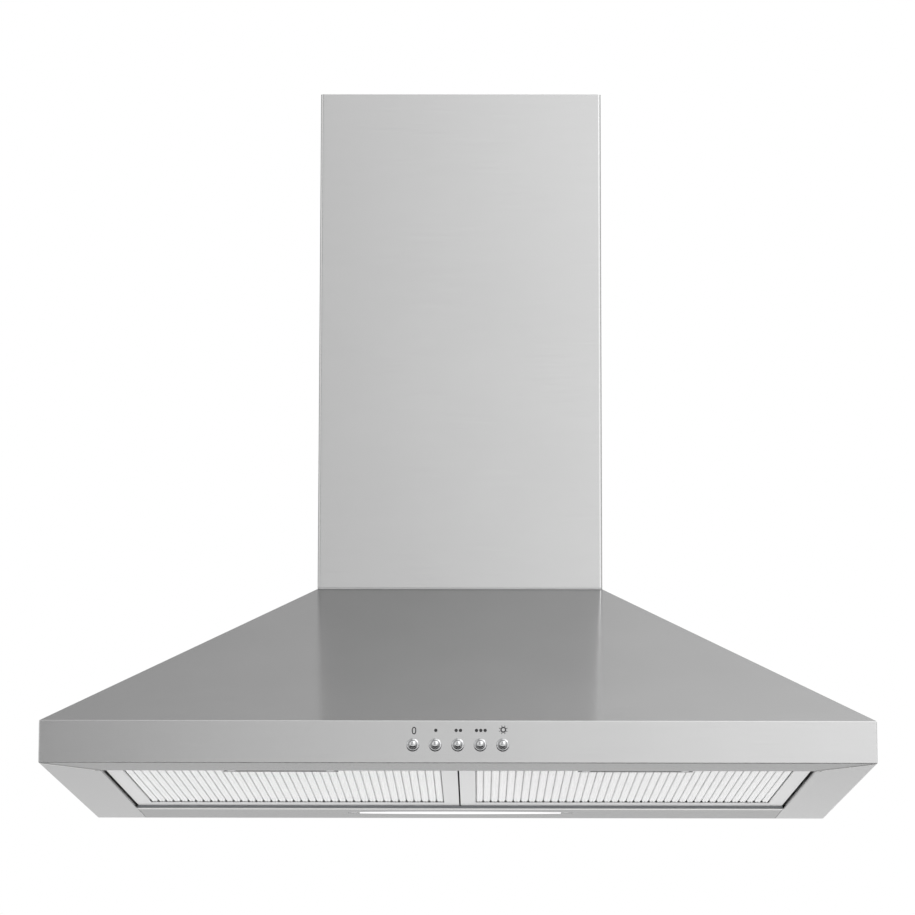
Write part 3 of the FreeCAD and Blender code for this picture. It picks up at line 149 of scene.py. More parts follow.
def side_flange_group():
    """1 on the flat faces beside the opening, up to the mitre from its corner to the skirt's corner."""
    tree, _, out = effect_group("side flanges", {}, {"Mask": VALUE})
    place = parts_of(tree, object_place(tree))
    slant = (SKIRT_HALF - OPENING_HALF) / (SKIRT_DEPTH - OPENING_FRONT)
    ahead_of_corner = math_node(tree, "SUBTRACT", math_node(tree, "MULTIPLY", place[1], -1.0), OPENING_FRONT)
    past_corner = math_node(tree, "MAXIMUM", ahead_of_corner, 0.0)
    limit = math_node(tree, "MULTIPLY_ADD", past_corner, slant, OPENING_HALF)
    outside = math_node(tree, "GREATER_THAN", math_node(tree, "ABSOLUTE", place[0]), limit)
    flat = flat_mask(tree)
    tree.links.new(math_node(tree, "MULTIPLY", outside, flat), out["Mask"])
    return tree


side_flanges = side_flange_group()
print("made group:", side_flanges.name)

# %% [markdown]
# The grain itself is two noises over the same stretched place: broad streaks that change the tone,
# and finer scratches that change the roughness and the relief.

# %% Brush grain group
def brush_grain_group():
    tree, given, out = effect_group(
        "brush grain", {"Along": (VALUE, 25.0), "Across": (VALUE, 1500.0)},
        {"Streaks": VALUE, "Scratches": VALUE})
    place = parts_of(tree, object_place(tree))
    flat = flat_mask(tree)
    along, across = given["Along"], given["Across"]
    sideways = put(tree, "ShaderNodeGroup", node_tree=side_flanges).outputs["Mask"]
    scale_x = put(tree, "ShaderNodeMix", {0: sideways, 2: along, 3: across}).outputs[0]
    squeezed = math_node(tree, "SUBTRACT", flat, sideways)
    scale_y = put(tree, "ShaderNodeMix", {0: squeezed, 2: along, 3: across}).outputs[0]
    stretched = put(tree, "ShaderNodeCombineXYZ", {
        0: math_node(tree, "MULTIPLY", place[0], scale_x),
        1: math_node(tree, "MULTIPLY", place[1], scale_y),
        2: math_node(tree, "MULTIPLY", place[2], across)}).outputs[0]
    streaks = put(tree, "ShaderNodeTexNoise",
                  {"Vector": stretched, "Scale": 1.0, "Detail": 3.0, "Roughness": 0.6})
    finer = put(tree, "ShaderNodeVectorMath", {0: stretched, 1: (2.1, 3.3, 3.3)}, operation="MULTIPLY")
    scratches = put(tree, "ShaderNodeTexNoise",
                    {"Vector": finer.outputs[0], "Scale": 1.0, "Detail": 2.0, "Roughness": 0.7})
    tree.links.new(streaks.outputs[0], out["Streaks"])
    tree.links.new(scratches.outputs[0], out["Scratches"])
    return tree


brush_grain = brush_grain_group()
print("made group:", brush_grain.name)

# %% [markdown]
# ## Soft patches
# No sheet or moulding is quite even: rolling, wiping and age leave soft patches a hand wide. They
# could be left out, and the surface would look like a computer's. A slow noise gives a value that
# other nodes use to nudge a colour or a roughness by a few percent.

# %% Soft patches group
def soft_patches_group():
    tree, given, out = effect_group(
        "soft patches", {"Size": (VALUE, 0.06), "Contrast": (VALUE, 1.0)}, {"Patches": VALUE})
    place = object_place(tree)
    noise = put(tree, "ShaderNodeTexNoise", {"Vector": place, "Scale": per_metre(tree, given["Size"]),
                                             "Detail": 4.0, "Roughness": 0.55}).outputs[0]
    centred = math_node(tree, "MULTIPLY", math_node(tree, "SUBTRACT", noise, 0.5), given["Contrast"])
    tree.links.new(math_node(tree, "ADD", centred, 0.5, clamp=True), out["Patches"])
    return tree


soft_patches = soft_patches_group()
print("made group:", soft_patches.name)

# %% [markdown]
# ## Rounded edges
# A folded or cut sheet never has a perfectly sharp edge: a fold has a radius and a cut edge is
# eased by deburring, and both catch a thin bright line of light. The edges could be rounded in the
# mesh, but the solids are fixed. The Bevel node bends the shading near an edge instead, and how far
# it bends it is a ready mask for edge wear.

# %% Rounded edges group
def rounded_edges_group():
    tree, given, out = effect_group(
        "rounded edges", {"Radius": (VALUE, 0.0006)}, {"Edge": VALUE, "Normal": VECTOR})
    bent = put(tree, "ShaderNodeBevel", {"Radius": given["Radius"]}, samples=4).outputs[0]
    flat = true_normal(tree)
    agree = put(tree, "ShaderNodeVectorMath", {0: bent, 1: flat}, operation="DOT_PRODUCT").outputs["Value"]
    edge = put(tree, "ShaderNodeMapRange", {"Value": agree, "From Min": 1.0, "From Max": 0.8,
                                            "To Min": 0.0, "To Max": 1.0}).outputs[0]
    tree.links.new(edge, out["Edge"])
    tree.links.new(bent, out["Normal"])
    return tree


rounded_edges = rounded_edges_group()
print("made group:", rounded_edges.name)

# %% [markdown]
# ## Zinc spangle and moulded skin
# Galvanised sheet shows frost-like crystals about a centimetre across, each a slightly different
# grey. Cells of a Voronoi texture, one random value a cell, look just like them. Moulded plastic
# has a fine even skin from its tool, which a small-scale noise gives as height.

# %% Spangle and skin groups
def zinc_spangle_group():
    tree, given, out = effect_group("zinc spangle", {"Size": (VALUE, 0.009)}, {"Crystals": VALUE})
    place = object_place(tree)
    cells = put(tree, "ShaderNodeTexVoronoi", {"Vector": place, "Scale": per_metre(tree, given["Size"]),
                                               "Randomness": 1.0}).outputs["Color"]
    tree.links.new(put(tree, "ShaderNodeSeparateColor", {0: cells}).outputs[0], out["Crystals"])
    return tree


def moulded_skin_group():
    tree, given, out = effect_group("moulded skin", {"Size": (VALUE, 0.0004)}, {"Skin": VALUE})
    place = object_place(tree)
    noise = put(tree, "ShaderNodeTexNoise", {"Vector": place, "Scale": per_metre(tree, given["Size"]),
                                             "Detail": 2.0}).outputs[0]
    tree.links.new(noise, out["Skin"])
    return tree


zinc_spangle = zinc_spangle_group()
moulded_skin = moulded_skin_group()
print("made groups:", zinc_spangle.name, "and", moulded_skin.name)

# %% [markdown]
# ## Starting a finish
# Every finish below begins the same way: a material with one Principled shader. What is the same
# all over a surface, such as how metallic it is, is set straight on the shader. What changes over
# it comes in through nodes.

# %% Finish helpers
finishes = {}


def start_finish(slot, **even):
    """A material for one slot of the record, with the values that are the same all over it."""
    made = bpy.data.materials.new(slot)
    made.use_nodes = True
    shader = made.node_tree.nodes["Principled BSDF"]
    for socket, value in even.items():
        shader.inputs[socket.replace("_", " ")].default_value = value
    finishes[slot] = made
    return made.node_tree, shader.inputs


def use(tree, group, **values):
    feeds = {socket.replace("_", " "): value for socket, value in values.items()}
    return put(tree, "ShaderNodeGroup", feeds, node_tree=group).outputs


def between(tree, mask, low, high):
    """A value that goes from low to high as the mask goes from 0 to 1."""
    return put(tree, "ShaderNodeMapRange", {"Value": mask, "To Min": low, "To Max": high}).outputs[0]


def shade(tree, mask, dark, light):
    """A colour that goes from dark to light as the mask goes from 0 to 1."""
    feeds = {0: mask, 6: (*dark, 1.0), 7: (*light, 1.0)}
    return put(tree, "ShaderNodeMix", feeds, data_type="RGBA").outputs[2]


def relief(tree, height, depth, normal):
    """A normal that is bent by a height, whose full range is depth metres."""
    feeds = {"Strength": 1.0, "Distance": depth, "Height": height, "Normal": normal}
    return put(tree, "ShaderNodeBump", feeds).outputs[0]


def blended(tree, *pairs):
    """The weighted sum of masks, each given as (mask, weight)."""
    total = math_node(tree, "MULTIPLY", *pairs[0])
    for mask, weight in pairs[1:]:
        total = math_node(tree, "MULTIPLY_ADD", mask, weight, total)
    return total

# %% [markdown]
# ## Brushed stainless sheet
# The canopy, the chimney covers, the underside frame and the light panel are brushed stainless
# sheet. A plain grey metal would mirror the room too sharply. Brushing spreads a reflection across
# the scratches, so the shader is anisotropic: along the scratches it is nearly a mirror, and across
# them it draws a bright spot out upright. The shader draws out along its tangent, so the tangent is
# the upright one. It comes from two cross products: the normal with the upward direction gives the
# level direction, with a little X added for faces that lie flat (a little Y on the side flanges),
# and that one with the normal gives the upright one.

# %% Stainless finish
def upright_tangent(tree):
    normal = true_normal(tree)
    level = put(tree, "ShaderNodeVectorMath", {0: normal, 1: (0, 0, 1)}, operation="CROSS_PRODUCT").outputs[0]
    nudge = put(tree, "ShaderNodeMix", {0: use(tree, side_flanges)["Mask"], 4: (0.01, 0, 0), 5: (0, 0.01, 0)},
                data_type="VECTOR").outputs[1]
    level = put(tree, "ShaderNodeVectorMath", {0: level, 1: nudge}, operation="ADD").outputs[0]
    return put(tree, "ShaderNodeVectorMath", {0: level, 1: normal}, operation="CROSS_PRODUCT").outputs[0]


def brushed_finish(slot, dark, light, rough, streak_weight=0.6, anisotropic=0.9, along=25.0, across=1500.0,
                   scratch_depth=0.00001, edge_radius=0.0006, grazing=0.55):
    tree, shader = start_finish(slot, Metallic=1.0, Anisotropic=anisotropic,
                                Specular_Tint=(grazing, grazing, grazing, 1.0))
    grain = use(tree, brush_grain, Along=along, Across=across)
    patches = use(tree, soft_patches, Size=0.08)["Patches"]
    edges = use(tree, rounded_edges, Radius=edge_radius)
    tone = blended(tree, (grain["Streaks"], streak_weight), (patches, 1 - streak_weight),
                   (edges["Edge"], 0.35))
    tree.links.new(shade(tree, tone, dark, light), shader["Base Color"])
    tree.links.new(between(tree, blended(tree, (grain["Scratches"], 0.5), (patches, 0.5)), *rough),
                   shader["Roughness"])
    tree.links.new(relief(tree, grain["Scratches"], scratch_depth, edges["Normal"]), shader["Normal"])
    tree.links.new(upright_tangent(tree), shader["Tangent"])


brushed_finish("stainless", dark=(0.54, 0.54, 0.54), light=(0.62, 0.62, 0.62), rough=(0.17, 0.21))
brushed_finish("latch_steel", dark=(0.50, 0.50, 0.50), light=(0.62, 0.62, 0.62), rough=(0.18, 0.24))
brushed_finish("filter_aluminium", dark=(0.73, 0.73, 0.73), light=(0.81, 0.81, 0.81), rough=(0.34, 0.46),
               anisotropic=0.2, scratch_depth=0.000004, grazing=0.86)
print("brushed finishes:", sorted(finishes))

# %% [markdown]
# ## Galvanised sheet and plain metals
# Inside the hood, the back panel, blower housing and brackets are galvanised sheet with its
# crystals. Chrome is a thin smooth plating on the buttons and bezels, with hardly any roughness.
# Screws, springs and shafts are plain metals that differ in tone and roughness, so one recipe
# serves them all.

# %% Other metals
def galvanised_finish():
    tree, shader = start_finish("galvanised", Metallic=1.0)
    crystals = use(tree, zinc_spangle)["Crystals"]
    patches = use(tree, soft_patches, Size=0.05)["Patches"]
    tree.links.new(shade(tree, crystals, (0.50, 0.515, 0.53), (0.585, 0.60, 0.61)), shader["Base Color"])
    dullness = blended(tree, (crystals, 0.6), (patches, 0.4))
    tree.links.new(between(tree, dullness, 0.36, 0.50), shader["Roughness"])
    tree.links.new(use(tree, rounded_edges, Radius=0.0005)["Normal"], shader["Normal"])


def plain_metal(slot, dark, light, rough, patch=0.01, skin=0.0006, depth=0.00001):
    tree, shader = start_finish(slot, Metallic=1.0)
    patches = use(tree, soft_patches, Size=patch, Contrast=1.5)["Patches"]
    edges = use(tree, rounded_edges, Radius=0.0003)
    tone = blended(tree, (patches, 0.8), (edges["Edge"], 0.3))
    tree.links.new(shade(tree, tone, dark, light), shader["Base Color"])
    tree.links.new(between(tree, patches, *rough), shader["Roughness"])
    height = use(tree, moulded_skin, Size=skin)["Skin"]
    tree.links.new(relief(tree, height, depth, edges["Normal"]), shader["Normal"])


galvanised_finish()
plain_metal("chrome", (0.52, 0.525, 0.53), (0.62, 0.625, 0.63), (0.05, 0.10), depth=0.0)
plain_metal("mesh_aluminium", (0.90, 0.90, 0.90), (0.97, 0.97, 0.97), (0.35, 0.5), patch=0.02)
plain_metal("spring_steel", (0.42, 0.43, 0.45), (0.55, 0.56, 0.57), (0.25, 0.38))
plain_metal("zinc_fastener", (0.55, 0.56, 0.57), (0.72, 0.72, 0.73), (0.22, 0.36))
plain_metal("shaft_steel", (0.50, 0.51, 0.52), (0.64, 0.64, 0.65), (0.14, 0.24))
print("metal finishes:", sorted(finishes))

# %% [markdown]
# ## Plastics, paint and rubber
# The lens is opal white plastic that scatters the lamp's light, and the tray behind it is white
# enamel. The housings inside are moulded black, grey and white plastic, the motor is a painted
# casting, its bushes are rubber, and the leads have a smooth sheath. All of them are a colour with
# a skin, soft patches and rounded edges.

# %% Moulded and painted finishes
def moulded_finish(slot, dark, light, rough, skin=0.0005, depth=0.00002, edge_radius=0.0005, **even):
    tree, shader = start_finish(slot, **even)
    patches = use(tree, soft_patches, Size=0.03)["Patches"]
    edges = use(tree, rounded_edges, Radius=edge_radius)
    tone = blended(tree, (patches, 0.8), (edges["Edge"], 0.4))
    tree.links.new(shade(tree, tone, dark, light), shader["Base Color"])
    tree.links.new(between(tree, patches, *rough), shader["Roughness"])
    height = use(tree, moulded_skin, Size=skin)["Skin"]
    tree.links.new(relief(tree, height, depth, edges["Normal"]), shader["Normal"])


moulded_finish("lens_white", (0.88, 0.88, 0.88), (0.94, 0.94, 0.94), (0.25, 0.35), depth=0.000005,
               Emission_Color=(1.0, 1.0, 1.0, 1.0), Emission_Strength=0.22)
moulded_finish("tray_white", (0.80, 0.80, 0.79), (0.88, 0.88, 0.87), (0.3, 0.42))
moulded_finish("board_green", (0.02, 0.16, 0.06), (0.05, 0.25, 0.10), (0.28, 0.4))
moulded_finish("black_plastic", (0.012, 0.012, 0.013), (0.03, 0.03, 0.032), (0.38, 0.55))
moulded_finish("grey_plastic", (0.24, 0.25, 0.26), (0.33, 0.34, 0.35), (0.4, 0.55))
moulded_finish("white_plastic", (0.74, 0.74, 0.72), (0.82, 0.82, 0.80), (0.35, 0.5))
moulded_finish("motor_grey", (0.16, 0.17, 0.18), (0.26, 0.27, 0.28), (0.4, 0.6), skin=0.0012, depth=0.00006)
moulded_finish("bush_rubber", (0.008, 0.008, 0.008), (0.02, 0.02, 0.02), (0.6, 0.8))
moulded_finish("lead_sheath", (0.32, 0.32, 0.33), (0.42, 0.42, 0.43), (0.4, 0.55), skin=0.0003)
print("finishes made:", len(finishes))

# %% [markdown]
# ## Dressing the solids
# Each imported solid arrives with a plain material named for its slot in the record. Swapping it for
# the finish of the same name keeps the record as the one list of what is made of what.

# %% Swap the plain materials for the finishes
for name, node in nodes.items():
    for place in node.material_slots:
        slot = place.material.name.split(".")[0]
        if slot in finishes:
            place.material = finishes[slot]
        else:
            print("no finish for", name, slot)

# %% [markdown]
# ## The signs above the buttons
# Each button has a small printed sign above it: a nought for off, one to three dots for the fan's
# speeds and a little sun for the lamp. They could be a picture on the sheet. Here each is a thin
# layer of ink with its own outline, so it stays crisp from any distance.

# %% Helpers for thin ink shapes
def oval(x, z, half_width, half_height, count=40, squareness=1.0):
    """Outline points of an oval. Squareness below 1 fills its corners out a little."""
    points = []
    for number in range(count):
        angle = 2 * math.pi * number / count
        c, s = math.cos(angle), math.sin(angle)
        points.append((x + half_width * math.copysign(abs(c) ** squareness, c),
                       z + half_height * math.copysign(abs(s) ** squareness, s)))
    return points


def add_ink(shape, outer, inner=None):
    """A layer of ink on the skirt's front: a patch with an outline, or a ring between two outlines."""
    depths = (SKIRT_FRONT - INK_THICKNESS, SKIRT_FRONT)
    rows = [[shape.verts.new((x, y, z)) for x, z in line] for line in (outer, inner or []) for y in depths]
    count = len(outer)
    for number in range(count):
        after = (number + 1) % count
        shape.faces.new([rows[0][number], rows[0][after], rows[1][after], rows[1][number]])
        if inner:
            shape.faces.new([rows[2][number], rows[2][after], rows[3][after], rows[3][number]])
            shape.faces.new([rows[0][number], rows[0][after], rows[2][after], rows[2][number]])
    if not inner:
        shape.faces.new(rows[0])


def finish_piece(name, shape, body, slot):
    """Turns a bmesh into an object that rides on a body and wears the finish of a slot."""
    bmesh.ops.recalc_face_normals(shape, faces=shape.faces)
    mesh = bpy.data.meshes.new(name)
    shape.to_mesh(mesh)
    shape.free()
    piece = bpy.data.objects.new(name, mesh)
    bpy.context.scene.collection.objects.link(piece)
    mesh.materials.append(finishes[slot])
    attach(piece, body)
    print("made", name, "with", len(mesh.polygons), "faces")


# %% [markdown]
# The numbers below are the signs' own sizes on the skirt. The sun is a ring with eight short rays.

# %% Print the signs
SKIRT_FRONT = -490.0 * MM
INK_THICKNESS = 0.04 * MM
SIGN_HEIGHT = 23.6 * MM
BUTTON_PITCH = 16.1 * MM
DOT_RADIUS, DOT_SPACING, SIGN_SHIFT = 1.2 * MM, 3.1 * MM, 0.4 * MM

NOUGHT_RIGHT, NOUGHT_DROP, NOUGHT_SQUARENESS = 0.5 * MM, 0.2 * MM, 0.85
NOUGHT_OUTER, NOUGHT_INNER = (1.6 * MM, 2.7 * MM), (0.85 * MM, 1.95 * MM)
SUN_RISE, SUN_OUTER, SUN_INNER = 0.5 * MM, 2.1 * MM, 1.2 * MM
RAY_COUNT, RAY_START, RAY_END, RAY_HALF = 8, 2.35 * MM, 3.15 * MM, 0.3 * MM

signs = bmesh.new()
sign_x = [(number - 2) * BUTTON_PITCH + SIGN_SHIFT for number in range(5)]
nought_x, nought_z = sign_x[0] + NOUGHT_RIGHT, SIGN_HEIGHT - NOUGHT_DROP
add_ink(signs, oval(nought_x, nought_z, *NOUGHT_OUTER, squareness=NOUGHT_SQUARENESS),
        oval(nought_x, nought_z, *NOUGHT_INNER, squareness=NOUGHT_SQUARENESS))
for speed in (1, 2, 3):
    for dot in range(speed):
        dot_x = sign_x[speed] + (dot - (speed - 1) / 2) * DOT_SPACING
        add_ink(signs, oval(dot_x, SIGN_HEIGHT, DOT_RADIUS, DOT_RADIUS))
sun_x, sun_z = sign_x[4], SIGN_HEIGHT + SUN_RISE
add_ink(signs, oval(sun_x, sun_z, SUN_OUTER, SUN_OUTER), oval(sun_x, sun_z, SUN_INNER, SUN_INNER))
for number in range(RAY_COUNT):
    angle = math.pi * (2 * number + 1) / RAY_COUNT
    away = Vector((math.cos(angle), math.sin(angle)))
    aside = Vector((-math.sin(angle), math.cos(angle))) * RAY_HALF
    corners = [away * RAY_START + aside, away * RAY_START - aside,
               away * RAY_END - aside, away * RAY_END + aside]
    add_ink(signs, [(sun_x + c.x, sun_z + c.y) for c in corners])
finish_piece("button_signs", signs, "root", "black_plastic")

# %% [markdown]
# ## Painted shade and highlight strips, hems and beads of the underside
# The step in front of the light panel carries a thin dark grey strip, painted shade standing in for
# the shadow in the gap behind the filters; it is far thinner than a real foam seal. The folded edge
# below it carries a white strip, a painted highlight standing in for the bright line of the fold.
# The flanges beside the opening end in a narrow hem, and the two corners of the flanges are closed
# with a bead along the mitre: a weld, whose white colour is a painted glint. All of them are long
# boxes with their corners taken off, which is what a cut strip and a rolled edge are.

# %% Lay the strips
def long_strip(shape, start, end, width, height, chamfer):
    """A strip with chamfered long edges. start and end are on its upper face's middle line."""
    start, end, w, c = Vector(start), Vector(end), width / 2, chamfer
    aside = (end - start).cross(Vector((0, 0, 1))).normalized()
    section = [(w - c, 0), (w, -c), (w, c - height), (w - c, -height),
               (c - w, -height), (-w, c - height), (-w, -c), (c - w, 0)]
    rings = [[shape.verts.new(point + aside * a + Vector((0, 0, h))) for a, h in section]
             for point in (start, end)]
    for number in range(len(section)):
        after = (number + 1) % len(section)
        shape.faces.new([rings[0][number], rings[0][after], rings[1][after], rings[1][number]])
    shape.faces.new(rings[0])
    shape.faces.new(rings[1])


PANEL_FRONT, PANEL_HALF = -99.0 * MM, 259.4 * MM

SHADE_STRIP_WIDTH, SHADE_STRIP_HEIGHT, SHADE_STRIP_TOP, SHADE_STRIP_CHAMFER = 0.08 * MM, 1.9 * MM, 2.0 * MM, 0.02 * MM
HIGHLIGHT_TRIM_WIDTH, HIGHLIGHT_TRIM_HEIGHT, HIGHLIGHT_TRIM_CHAMFER = 6.0 * MM, 0.6 * MM, 0.12 * MM
HEM_WIDTH, HEM_HEIGHT, HEM_INSET, HEM_CHAMFER = 4.4 * MM, 0.4 * MM, 2.4 * MM, 0.1 * MM
GLINT_BEAD_WIDTH, GLINT_BEAD_HEIGHT, GLINT_BEAD_CHAMFER = 0.8 * MM, 0.45 * MM, 0.2 * MM

# A thin dark grey strip: painted shade in the gap behind the filters, not a real seal.
shade_strip = bmesh.new()
shade_strip_y = PANEL_FRONT - SHADE_STRIP_WIDTH / 2
long_strip(shade_strip, (-PANEL_HALF, shade_strip_y, SHADE_STRIP_TOP), (PANEL_HALF, shade_strip_y, SHADE_STRIP_TOP),
           SHADE_STRIP_WIDTH, SHADE_STRIP_HEIGHT, SHADE_STRIP_CHAMFER)
finish_piece("painted_shade_strip", shade_strip, "root", "motor_grey")

# A white strip under the panel's folded edge: a painted highlight of the fold, not a real trim.
highlight_trim = bmesh.new()
highlight_trim_y = PANEL_FRONT + HIGHLIGHT_TRIM_WIDTH / 2
long_strip(highlight_trim, (-PANEL_HALF, highlight_trim_y, 0.0), (PANEL_HALF, highlight_trim_y, 0.0), HIGHLIGHT_TRIM_WIDTH, HIGHLIGHT_TRIM_HEIGHT, HIGHLIGHT_TRIM_CHAMFER)
finish_piece("painted_highlight_trim", highlight_trim, "root", "tray_white")

hems, glint_beads = bmesh.new(), bmesh.new()
for side in (-1, 1):
    x = side * (OPENING_HALF + HEM_INSET)
    long_strip(hems, (x, -OPENING_FRONT, 0.0), (x, PANEL_FRONT, 0.0), HEM_WIDTH, HEM_HEIGHT, HEM_CHAMFER)
    inner_end = (side * (OPENING_HALF + 1.0 * MM), -OPENING_FRONT - 1.5 * MM, 0.0)
    outer_end = (side * (SKIRT_HALF - 2.0 * MM), -SKIRT_DEPTH + 3.0 * MM, 0.0)
    long_strip(glint_beads, inner_end, outer_end, GLINT_BEAD_WIDTH, GLINT_BEAD_HEIGHT, GLINT_BEAD_CHAMFER)
finish_piece("opening_hems", hems, "root", "stainless")
# The beads are mitre welds; their white finish is a painted glint.
finish_piece("mitre_glint_beads", glint_beads, "root", "tray_white")

# %% [markdown]
# ## Expanded mesh
# The filters are pleated expanded metal: a sheet that is slit and pulled open into diamonds, then
# folded into ribs. The solid gives the ribs. The diamonds could be a picture with holes, but they
# catch the light with their own little edges, so they are laid over the ribs as real strands, which
# also cross the grooves between them. One mesh serves both filters.

# %% [markdown]
# A rib's section is a row of points, each given by its distance from the rib's middle and its rise
# from the crest.

# %% Lay the strands
RIB_PITCH, CREST_Z = 6.0 * MM, 3.0 * MM
RIB_SECTION = tuple((a * MM, rise * MM) for a, rise in (
    (-3.0, 1.5), (-2.5, 0.8), (-1.5, 0.0), (-0.9, 0.0), (0.0, 0.45),
    (0.9, 0.0), (1.5, 0.0), (2.5, 0.8), (3.0, 1.5)))
RIB_COUNT, MESH_FRONT, MESH_REAR, FILTER_MIDDLE = 39, -412.0 * MM, -124.4 * MM, 129.55 * MM
STRAND_PERIOD, STRAND_HALF, STRAND_HEIGHT, STRAND_SINK = 4.0 * MM, 0.22 * MM, 0.12 * MM, 0.02 * MM


def strand_mesh():
    """Strands that follow a rib's section and lean both ways."""
    vertices, faces = [], []
    rows = int((MESH_REAR - MESH_FRONT) / STRAND_PERIOD)
    for rib in range(RIB_COUNT):
        middle = (rib - (RIB_COUNT - 1) / 2) * RIB_PITCH
        for row in range(rows):
            for lean in (-1, 1):
                first = len(vertices)
                for offset, rise in RIB_SECTION:
                    y = MESH_FRONT + (row + 0.5) * STRAND_PERIOD + lean * offset / RIB_PITCH * STRAND_PERIOD
                    z = CREST_Z + rise
                    vertices += [(middle + offset, y - STRAND_HALF, z + STRAND_SINK),
                                 (middle + offset, y, z - STRAND_HEIGHT),
                                 (middle + offset, y + STRAND_HALF, z + STRAND_SINK)]
                for step in range(len(RIB_SECTION) - 1):
                    a = first + 3 * step
                    faces += [(a, a + 1, a + 4, a + 3), (a + 1, a + 2, a + 5, a + 4)]
    mesh = bpy.data.meshes.new("filter_strands")
    mesh.from_pydata(vertices, [], faces)
    mesh.materials.append(finishes["mesh_aluminium"])
    return mesh


strands = strand_mesh()
for side, body in ((-1, "filter_left"), (1, "filter_right")):
    piece = bpy.data.objects.new(body + "_strands", strands)
    bpy.context.scene.collection.objects.link(piece)
    piece.location.x = side * FILTER_MIDDLE
    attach(piece, body)
print("strands in each filter:", len(strands.polygons), "faces")

# %% [markdown]
# ## The studio
# The floor stands three quarters of a metre below the hood, where a cooktop would be, and gives the
# underside its light. The world gives an even pale light, and the camera sees it white. What bare
# metal mirrors is a third thing: a room that only reflections see, with a level of its own for each
# direction. A plain room would leave every face of one sheet the same grey. This room was matched
# to the picture's one camera. Its front right is too bright, so that the fronts of the chimney and
# the skirt, which mirror it, clip to white when they are seen from the front left and below.

# %% Floor
FLOOR_DROP, FLOOR_HALF = 0.75, 12.0


def level_sheet(name, half, front, rear, height):
    """A flat rectangle that faces up."""
    corners = [(-half, front, height), (half, front, height), (half, rear, height), (-half, rear, height)]
    mesh = bpy.data.meshes.new(name)
    mesh.from_pydata(corners, [], [(0, 1, 2, 3)])
    sheet = bpy.data.objects.new(name, mesh)
    bpy.context.scene.collection.objects.link(sheet)
    return sheet


floor = level_sheet("floor", FLOOR_HALF, -FLOOR_HALF, FLOOR_HALF, -FLOOR_DROP)

floor_paint = bpy.data.materials.new("floor paint")
floor_paint.use_nodes = True
tree = floor_paint.node_tree
painted = tree.nodes["Principled BSDF"]
painted.inputs["Roughness"].default_value = 0.9
paint = shade(tree, use(tree, soft_patches, Size=0.8)["Patches"], (0.84, 0.84, 0.84), (0.88, 0.88, 0.88))
mirrored = put(tree, "ShaderNodeLightPath").outputs["Is Glossy Ray"]
whitened = put(tree, "ShaderNodeMix", {0: mirrored, 6: paint, 7: (1.0, 1.0, 1.0, 1.0)}, data_type="RGBA")
tree.links.new(whitened.outputs[2], painted.inputs["Base Color"])
see_through = put(tree, "ShaderNodeBsdfTransparent")
from_below = put(tree, "ShaderNodeNewGeometry").outputs["Backfacing"]
mixed = put(tree, "ShaderNodeMixShader", {0: from_below, 1: painted.outputs[0], 2: see_through.outputs[0]})
tree.links.new(mixed.outputs[0], tree.nodes["Material Output"].inputs["Surface"])
floor.data.materials.append(floor_paint)
print("floor below the rim, in metres:", FLOOR_DROP)

# %% [markdown]
# Every row of the tables below is one smooth change of level: where along a direction it starts and
# ends, and what it adds before and after. The rows of a table are summed. Dark cards beside the
# hood give its folds a dark line, and a soft light overhead brightens what looks up.

# %% World
world = bpy.data.worlds.new("studio")
bpy.context.scene.world = world
world.use_nodes = True
tree = world.node_tree
rays = put(tree, "ShaderNodeLightPath").outputs
seen = math_node(tree, "MAXIMUM", rays["Is Camera Ray"],
                 math_node(tree, "MAXIMUM", rays["Is Glossy Ray"], rays["Is Transmission Ray"]))
direction = parts_of(tree, put(tree, "ShaderNodeTexCoord").outputs["Generated"])


def ramp(tree, value, start, end, low, high):
    feeds = {"Value": value, "From Min": start, "From Max": end, "To Min": low, "To Max": high}
    return put(tree, "ShaderNodeMapRange", feeds, interpolation_type="SMOOTHSTEP").outputs[0]


def summed_ramps(tree, *rows):
    total = ramp(tree, *rows[0])
    for row in rows[1:]:
        total = math_node(tree, "ADD", total, ramp(tree, *row))
    return total


level_x, depth_y, height_z = direction
across_level = summed_ramps(tree,
                            (level_x, -0.14, 0.14, 0.50, 1.22),    # dim left, bright right
                            (level_x, -0.45, -0.18, 0.62, 0.0),    # bright again at the far left
                            (level_x, -0.105, -0.086, -0.24, 0.0),  # darker left of a sharp line
                            (level_x, 0.2, 0.4, 0.0, 0.3),         # brighter still at the right
                            (level_x, 0.5, 0.8, 0.0, -0.7))        # dim again at the far right
rise = summed_ramps(tree,
                    (height_z, 0.12, 0.26, 1.0, 1.41),             # brighter higher up
                    (height_z, 0.28, 0.62, 0.0, -0.34))            # and less so near the top
front_level = math_node(tree, "MULTIPLY", across_level, rise)
back_level = summed_ramps(tree,
                          (height_z, 0.1, 0.5, 1.2, 0.76),         # behind: falls with height
                          (level_x, -0.12, 0.12, -0.19, 0.19))     # and is brighter towards plus X
behind = ramp(tree, depth_y, 0.3, 0.55, 0.0, 1.0)
around = put(tree, "ShaderNodeMix", {0: behind, 2: front_level, 3: back_level}).outputs[0]

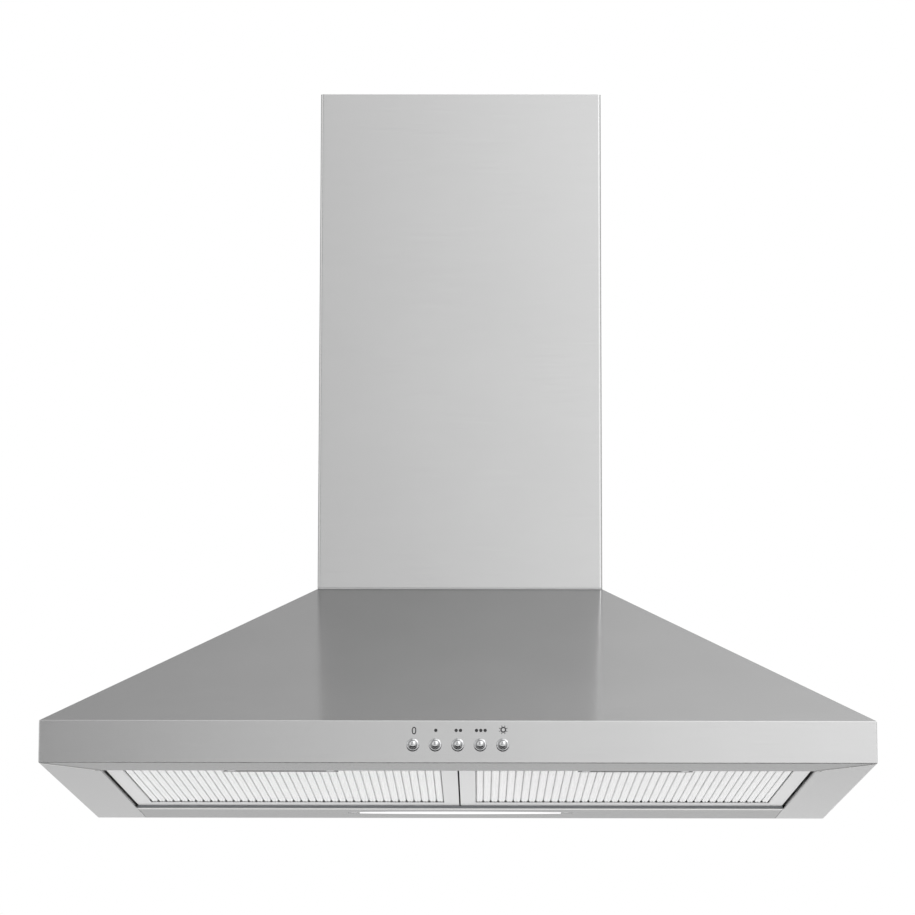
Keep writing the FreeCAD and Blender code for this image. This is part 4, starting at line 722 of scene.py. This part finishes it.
CARD_DARKNESS, ZENITH_LIGHT, ROOM_GREY = 0.85, 0.5, 0.93
card_front = ramp(tree, depth_y, 0.02, 0.14, 0.0, CARD_DARKNESS)
card_rear = ramp(tree, depth_y, 0.42, 0.58, 1.0, 0.0)
card_top = ramp(tree, height_z, 0.4, 0.6, 1.0, 0.0)
side_cards = math_node(tree, "MULTIPLY", math_node(tree, "MULTIPLY", card_front, card_rear), card_top)
carded = math_node(tree, "MULTIPLY", around, math_node(tree, "SUBTRACT", 1.0, side_cards))
glossy_level = math_node(tree, "ADD", carded, ramp(tree, height_z, 0.78, 0.95, 0.0, ZENITH_LIGHT))
level = put(tree, "ShaderNodeMix", {0: rays["Is Camera Ray"], 2: glossy_level, 3: 1.0}).outputs[0]
room = put(tree, "ShaderNodeBackground", {"Color": (ROOM_GREY, ROOM_GREY, ROOM_GREY, 1.0), "Strength": 1.0})
backdrop = put(tree, "ShaderNodeBackground", {"Color": (1.0, 1.0, 1.0, 1.0), "Strength": level})
both = put(tree, "ShaderNodeMixShader", {0: seen, 1: room.outputs[0], 2: backdrop.outputs[0]})
tree.links.new(both.outputs[0], tree.nodes["World Output"].inputs["Surface"])
print("levels of the mirrored room joined:", len(tree.nodes), "nodes")

# %% [markdown]
# One large soft lamp at the front right gives the shapes a light side. A small lamp would draw hard
# glints on metal.

# %% Lamps
def softbox(name, place, aim, width, height, watts):
    lamp = bpy.data.objects.new(name, bpy.data.lights.new(name, "AREA"))
    bpy.context.scene.collection.objects.link(lamp)
    lamp.data.shape = "RECTANGLE"
    lamp.data.size, lamp.data.size_y, lamp.data.energy = width, height, watts
    lamp.location = place
    lamp.rotation_euler = (Vector(aim) - Vector(place)).to_track_quat("-Z", "Y").to_euler()
    print("lamp", name, "of", watts, "W")


softbox("key_softbox", (2.6, -2.6, 3.2), (0.0, -0.3, 0.0), 2.0, 2.0, 40.0)

# %% [markdown]
# A photographer holds a small black flag below the front of bright metal, so that its lower edges
# and the lower halves of the buttons turn dark and stand out. This one is a dark sheet that only
# reflections can see.

# %% Dark flag in front
FLAG_HALF, FLAG_FRONT, FLAG_REAR, FLAG_HEIGHT = 0.8, -0.9, -0.45, -0.22
flag = level_sheet("dark_flag", FLAG_HALF, FLAG_FRONT, FLAG_REAR, FLAG_HEIGHT)
flag.visible_camera = flag.visible_diffuse = flag.visible_shadow = flag.visible_transmission = False
flag_cloth = bpy.data.materials.new("flag cloth")
flag_cloth.use_nodes = True
tree = flag_cloth.node_tree
cloth = tree.nodes["Principled BSDF"].inputs
cloth["Roughness"].default_value = 0.95
patches = use(tree, soft_patches, Size=0.3)["Patches"]
tree.links.new(shade(tree, patches, (0.02, 0.02, 0.02), (0.04, 0.04, 0.04)), cloth["Base Color"])
flag.data.materials.append(flag_cloth)
print("dark flag below the front, in metres:", FLAG_HEIGHT)
